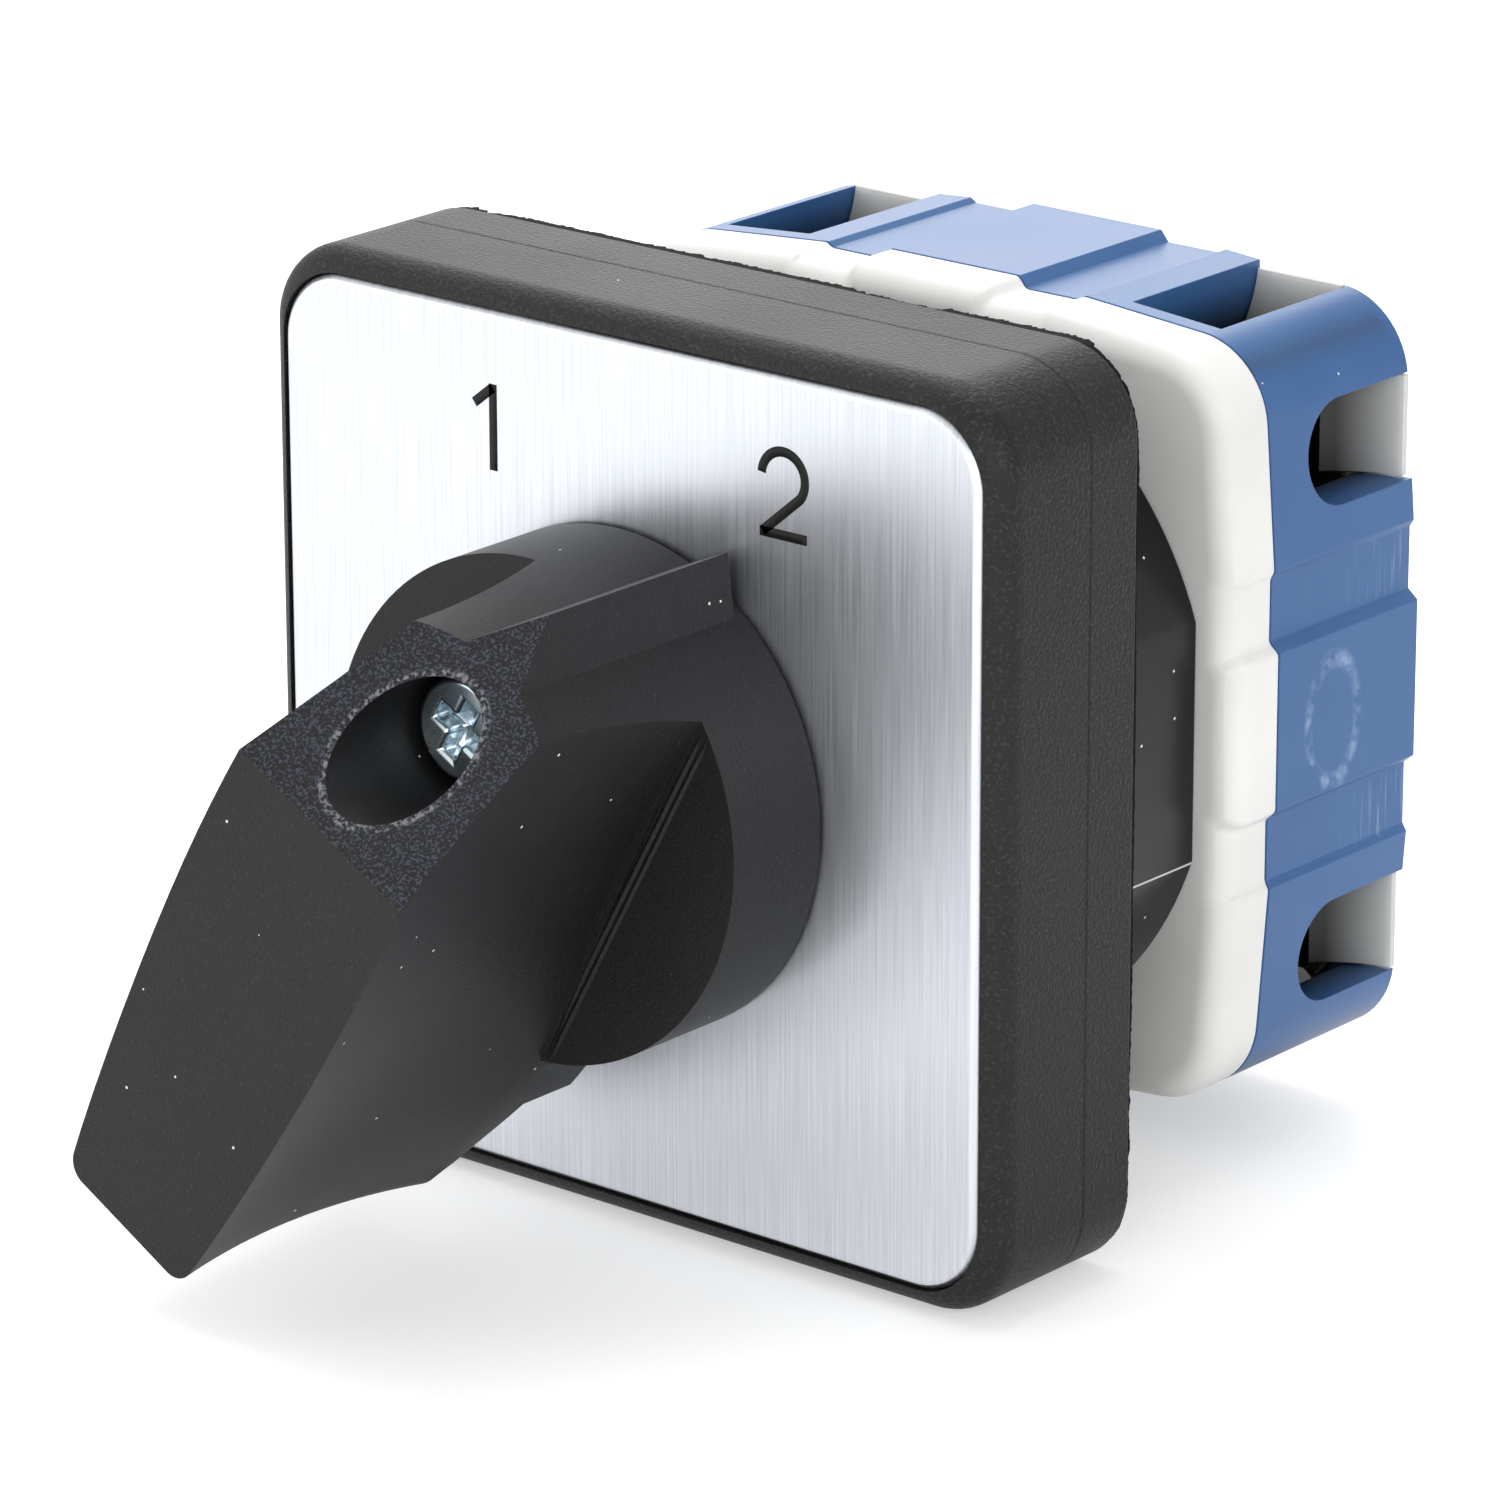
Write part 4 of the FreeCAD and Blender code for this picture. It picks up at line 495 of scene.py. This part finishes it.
# Painted shade: the cover goes near black towards the front of the chutes and towards their inner ends.
tint(chute_pa, "#0c0d0f", within(tree, depth, low=0, high=terminal_rear * mm, soft=4.5 * mm))
tint(chute_pa, "#0c0d0f", inner, before_plate)
cover_mesh = merged_copy("end_cover", "rear_cover")
cover = round_edges(show(cover_mesh, "housing", chute_pa), radius=0.08)
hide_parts("end_cover")

# Metal parts: screws, shaft and stop of blue-passivated zinc, springs of drawn steel,
# and contacts of stamped brass with silver tips. What sits in the deck is painted dull and dark, as painted
# shade.
# The hub, the cam and the plungers between them are moulded of grey polyamide.


def metal(name, tone, pale_tone, roughness, cloud=0.4):
    """Bare metal: two tones in soft clouds of a width in mm, with the roughness a little uneven."""
    material = bpy.data.materials.new(name)
    material.use_nodes = True
    tree = material.node_tree
    shader = tree.nodes["Principled BSDF"]
    shader.inputs["Metallic"].default_value = 1
    place = add(tree, "TexCoord").outputs["Object"]
    drift = add(tree, "TexNoise", {"Vector": place, "Scale": 1 / (cloud * mm), "Detail": 3}).outputs["Fac"]
    share = add(tree, "MapRange", {"Value": drift, "From Min": 0.35, "From Max": 0.65}).outputs[0]
    colour = add(tree, "Mix", {0: share, 6: linear(tone), 7: linear(pale_tone)}, data_type="RGBA")
    tree.links.new(colour.outputs[2], shader.inputs["Base Color"])
    sheen = add(tree, "MapRange", {"Value": drift, "To Min": roughness - 0.08, "To Max": roughness + 0.08})
    tree.links.new(sheen.outputs[0], shader.inputs["Roughness"])
    return material


# Blue-passivated zinc: a cold, bright silver with soft clouds.
# Zinc darkened as painted shade: nearly black and without sparkle, so the terminals stay dark inside the
# deck.
# Brass darkened as painted shade: a dull brown gold. Coined silver: pale, warm and bright.
# Drawn spring steel: a plain mid grey shine. Grey polyamide: flat and dark, with no highlight.
zinc = metal("blue_passivated_zinc", "#c8dae4", "#dde8ee", 0.24, cloud=1.5)
# Painted shade: the terminals' zinc and the contacts' brass are darkened so that they read as lying in
# shade.
shade_dark_zinc = metal("shade_darkened_zinc", "#1b1c1d", "#282a2b", 0.6)
brass = metal("shade_darkened_brass", "#4a3b20", "#5c4a2a", 0.5)
silver = metal("coined_silver", "#cfccc4", "#e0ddd6", 0.25)
steel = metal("drawn_spring_steel", "#8d8f90", "#a8a9aa", 0.3)
grey_pa = moulded("grey_polyamide", "#3c3d3e", "#464748", 0.5)
screw_mesh = merged_copy("handle_screw", "well_screw")
screw = round_edges(show(screw_mesh, "rotor", zinc), radius=0.4)
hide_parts("handle_screw")

# These CAD nodes are shown in their own shape, and only get their material.
finishes = [
    (zinc, ("fixing_screws", "deck_nuts", "shaft", "stop_plate")),
    (shade_dark_zinc, ("terminal_screws", "clamp_washers", "deck_bolts")),
    (brass, ("upper_right_contact", "upper_left_contact", "lower_right_contact", "lower_left_contact",
             "upper_bridge", "lower_bridge")),
    (silver, ("fixed_tips", "upper_bridge_tips", "lower_bridge_tips")),
    (steel, ("right_detent_spring", "left_detent_spring", "carrier_clip")),
    (grey_pa, ("handle_carrier", "star_wheel", "contact_cam", "upper_plunger", "lower_plunger")),
]
for material, nodes in finishes:
    for node in nodes:
        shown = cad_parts[node].data
        shown.materials.clear()
        shown.materials.append(material)

# Contact springs: two coils of drawn steel wire, each between a bridge and the deck's wall.
# In the switch one end goes with its bridge and the other stays, so a coil changes length with the throw;
# here each coil is a fixed copy of its CAD shape.

for side, bridge_end, wall_end in (("upper", 0, 1), ("lower", 1, 0)):
    node = side + "_contact_spring"
    coil = show(merged_copy(node, side + "_coil"), None, steel)
    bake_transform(coil)
    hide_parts(node)

# Studio: a plain pale floor under the object, soft lamps and a pale surround.
# Floor and surround show white to the camera and in reflections, and the floor keeps the shadow.

# White paper: an even, matt white without any sheen.
paper = bpy.data.materials.new("white_paper")
paper.use_nodes = True
tree = paper.node_tree
shader = tree.nodes["Principled BSDF"]
shader.inputs["Base Color"].default_value = linear("#e8e8e8")
shader.inputs["Roughness"].default_value = 0.9
shader.inputs["Emission Color"].default_value = (1, 1, 1, 1)
floor_glow = 0.4
ray = add(tree, "LightPath").outputs
seen = add(tree, "Math", {0: ray["Is Camera Ray"], 1: ray["Is Glossy Ray"]}, operation="MAXIMUM")
glow = add(tree, "Math", {0: seen.outputs[0], 1: floor_glow}, operation="MULTIPLY")
tree.links.new(glow.outputs[0], shader.inputs["Emission Strength"])

floor_level = cad_box[0][2]
floor_half = 3.0
floor_sides = [(-floor_half, -floor_half), (floor_half, -floor_half), (floor_half, floor_half),
               (-floor_half, floor_half)]
floor_mesh = bpy.data.meshes.new("floor")
floor_mesh.from_pydata([(x, y, floor_level) for x, y in floor_sides], [], [(0, 1, 2, 3)])
floor_mesh.materials.append(paper)
floor = bpy.data.objects.new("floor", floor_mesh)
bpy.context.scene.collection.objects.link(floor)

world = bpy.data.worlds.new("pale_room")
bpy.context.scene.world = world
world.use_nodes = True
tree = world.node_tree
room_light, backdrop_white = 0.6, 1.0
ray = add(tree, "LightPath").outputs
direct = add(tree, "Math", {0: ray["Is Camera Ray"], 1: ray["Is Transmission Ray"]},
             operation="MAXIMUM")
seen = add(tree, "Math", {0: direct.outputs[0], 1: ray["Is Glossy Ray"]}, operation="MAXIMUM")
strength = add(tree, "MapRange", {"Value": seen.outputs[0],
                                  "To Min": room_light, "To Max": backdrop_white})
backdrop = tree.nodes["Background"]
backdrop.inputs["Color"].default_value = (1, 1, 1, 1)
tree.links.new(strength.outputs[0], backdrop.inputs["Strength"])


def lamp(name, place, size, power):
    """A square softbox at a place in metres, facing the object, with its power in watts."""
    light = bpy.data.lights.new(name, "AREA")
    light.size = size
    light.energy = power
    holder = bpy.data.objects.new(name, light)
    bpy.context.scene.collection.objects.link(holder)
    facing = Vector(place).to_track_quat("Z", "Y").to_matrix().to_4x4()
    holder.matrix_world = Matrix.Translation(place) @ facing


lamp("top_softbox", (-0.15, 0.1, 0.6), size=0.5, power=2.5)
lamp("rear_softbox", (-0.4, 0.5, 0.28), size=0.4, power=1.3)
lamp("left_softbox", (-0.5, -0.45, 0.2), size=0.4, power=1.1)
lamp("right_softbox", (0.55, -0.2, 0.16), size=0.4, power=1.05)
lamp("front_softbox", (0.3, -0.6, 0.15), size=0.35, power=1.4)

# Camera: the photograph's view, from the right and a little above, through a long lens.
# Its angles, target, distance and lens come from the fit to the square front and the deck.

azimuth, elevation, roll = (math.radians(angle) for angle in (40.025, 18.442, -0.128))
target = Vector((8.35, -10.75, 3.18)) * mm
distance = 396.93 * mm
back = Vector((math.sin(azimuth) * math.cos(elevation), -math.cos(azimuth) * math.cos(elevation),
               math.sin(elevation)))
level_right = Vector((0, 0, 1)).cross(back).normalized()
level_up = back.cross(level_right)
right = level_right * math.cos(roll) + level_up * math.sin(roll)
up = level_up * math.cos(roll) - level_right * math.sin(roll)
camera_data = bpy.data.cameras.new("camera")
camera_data.sensor_width = 36
camera_data.lens = 192.99
camera_data.clip_start = 0.01
camera = bpy.data.objects.new("camera", camera_data)
bpy.context.scene.collection.objects.link(camera)
turned = Matrix((right, up, back)).transposed().to_4x4()
camera.matrix_world = Matrix.Translation(target + back * distance) @ turned
bpy.context.scene.camera = camera
bpy.context.scene.view_settings.view_transform = "Standard"
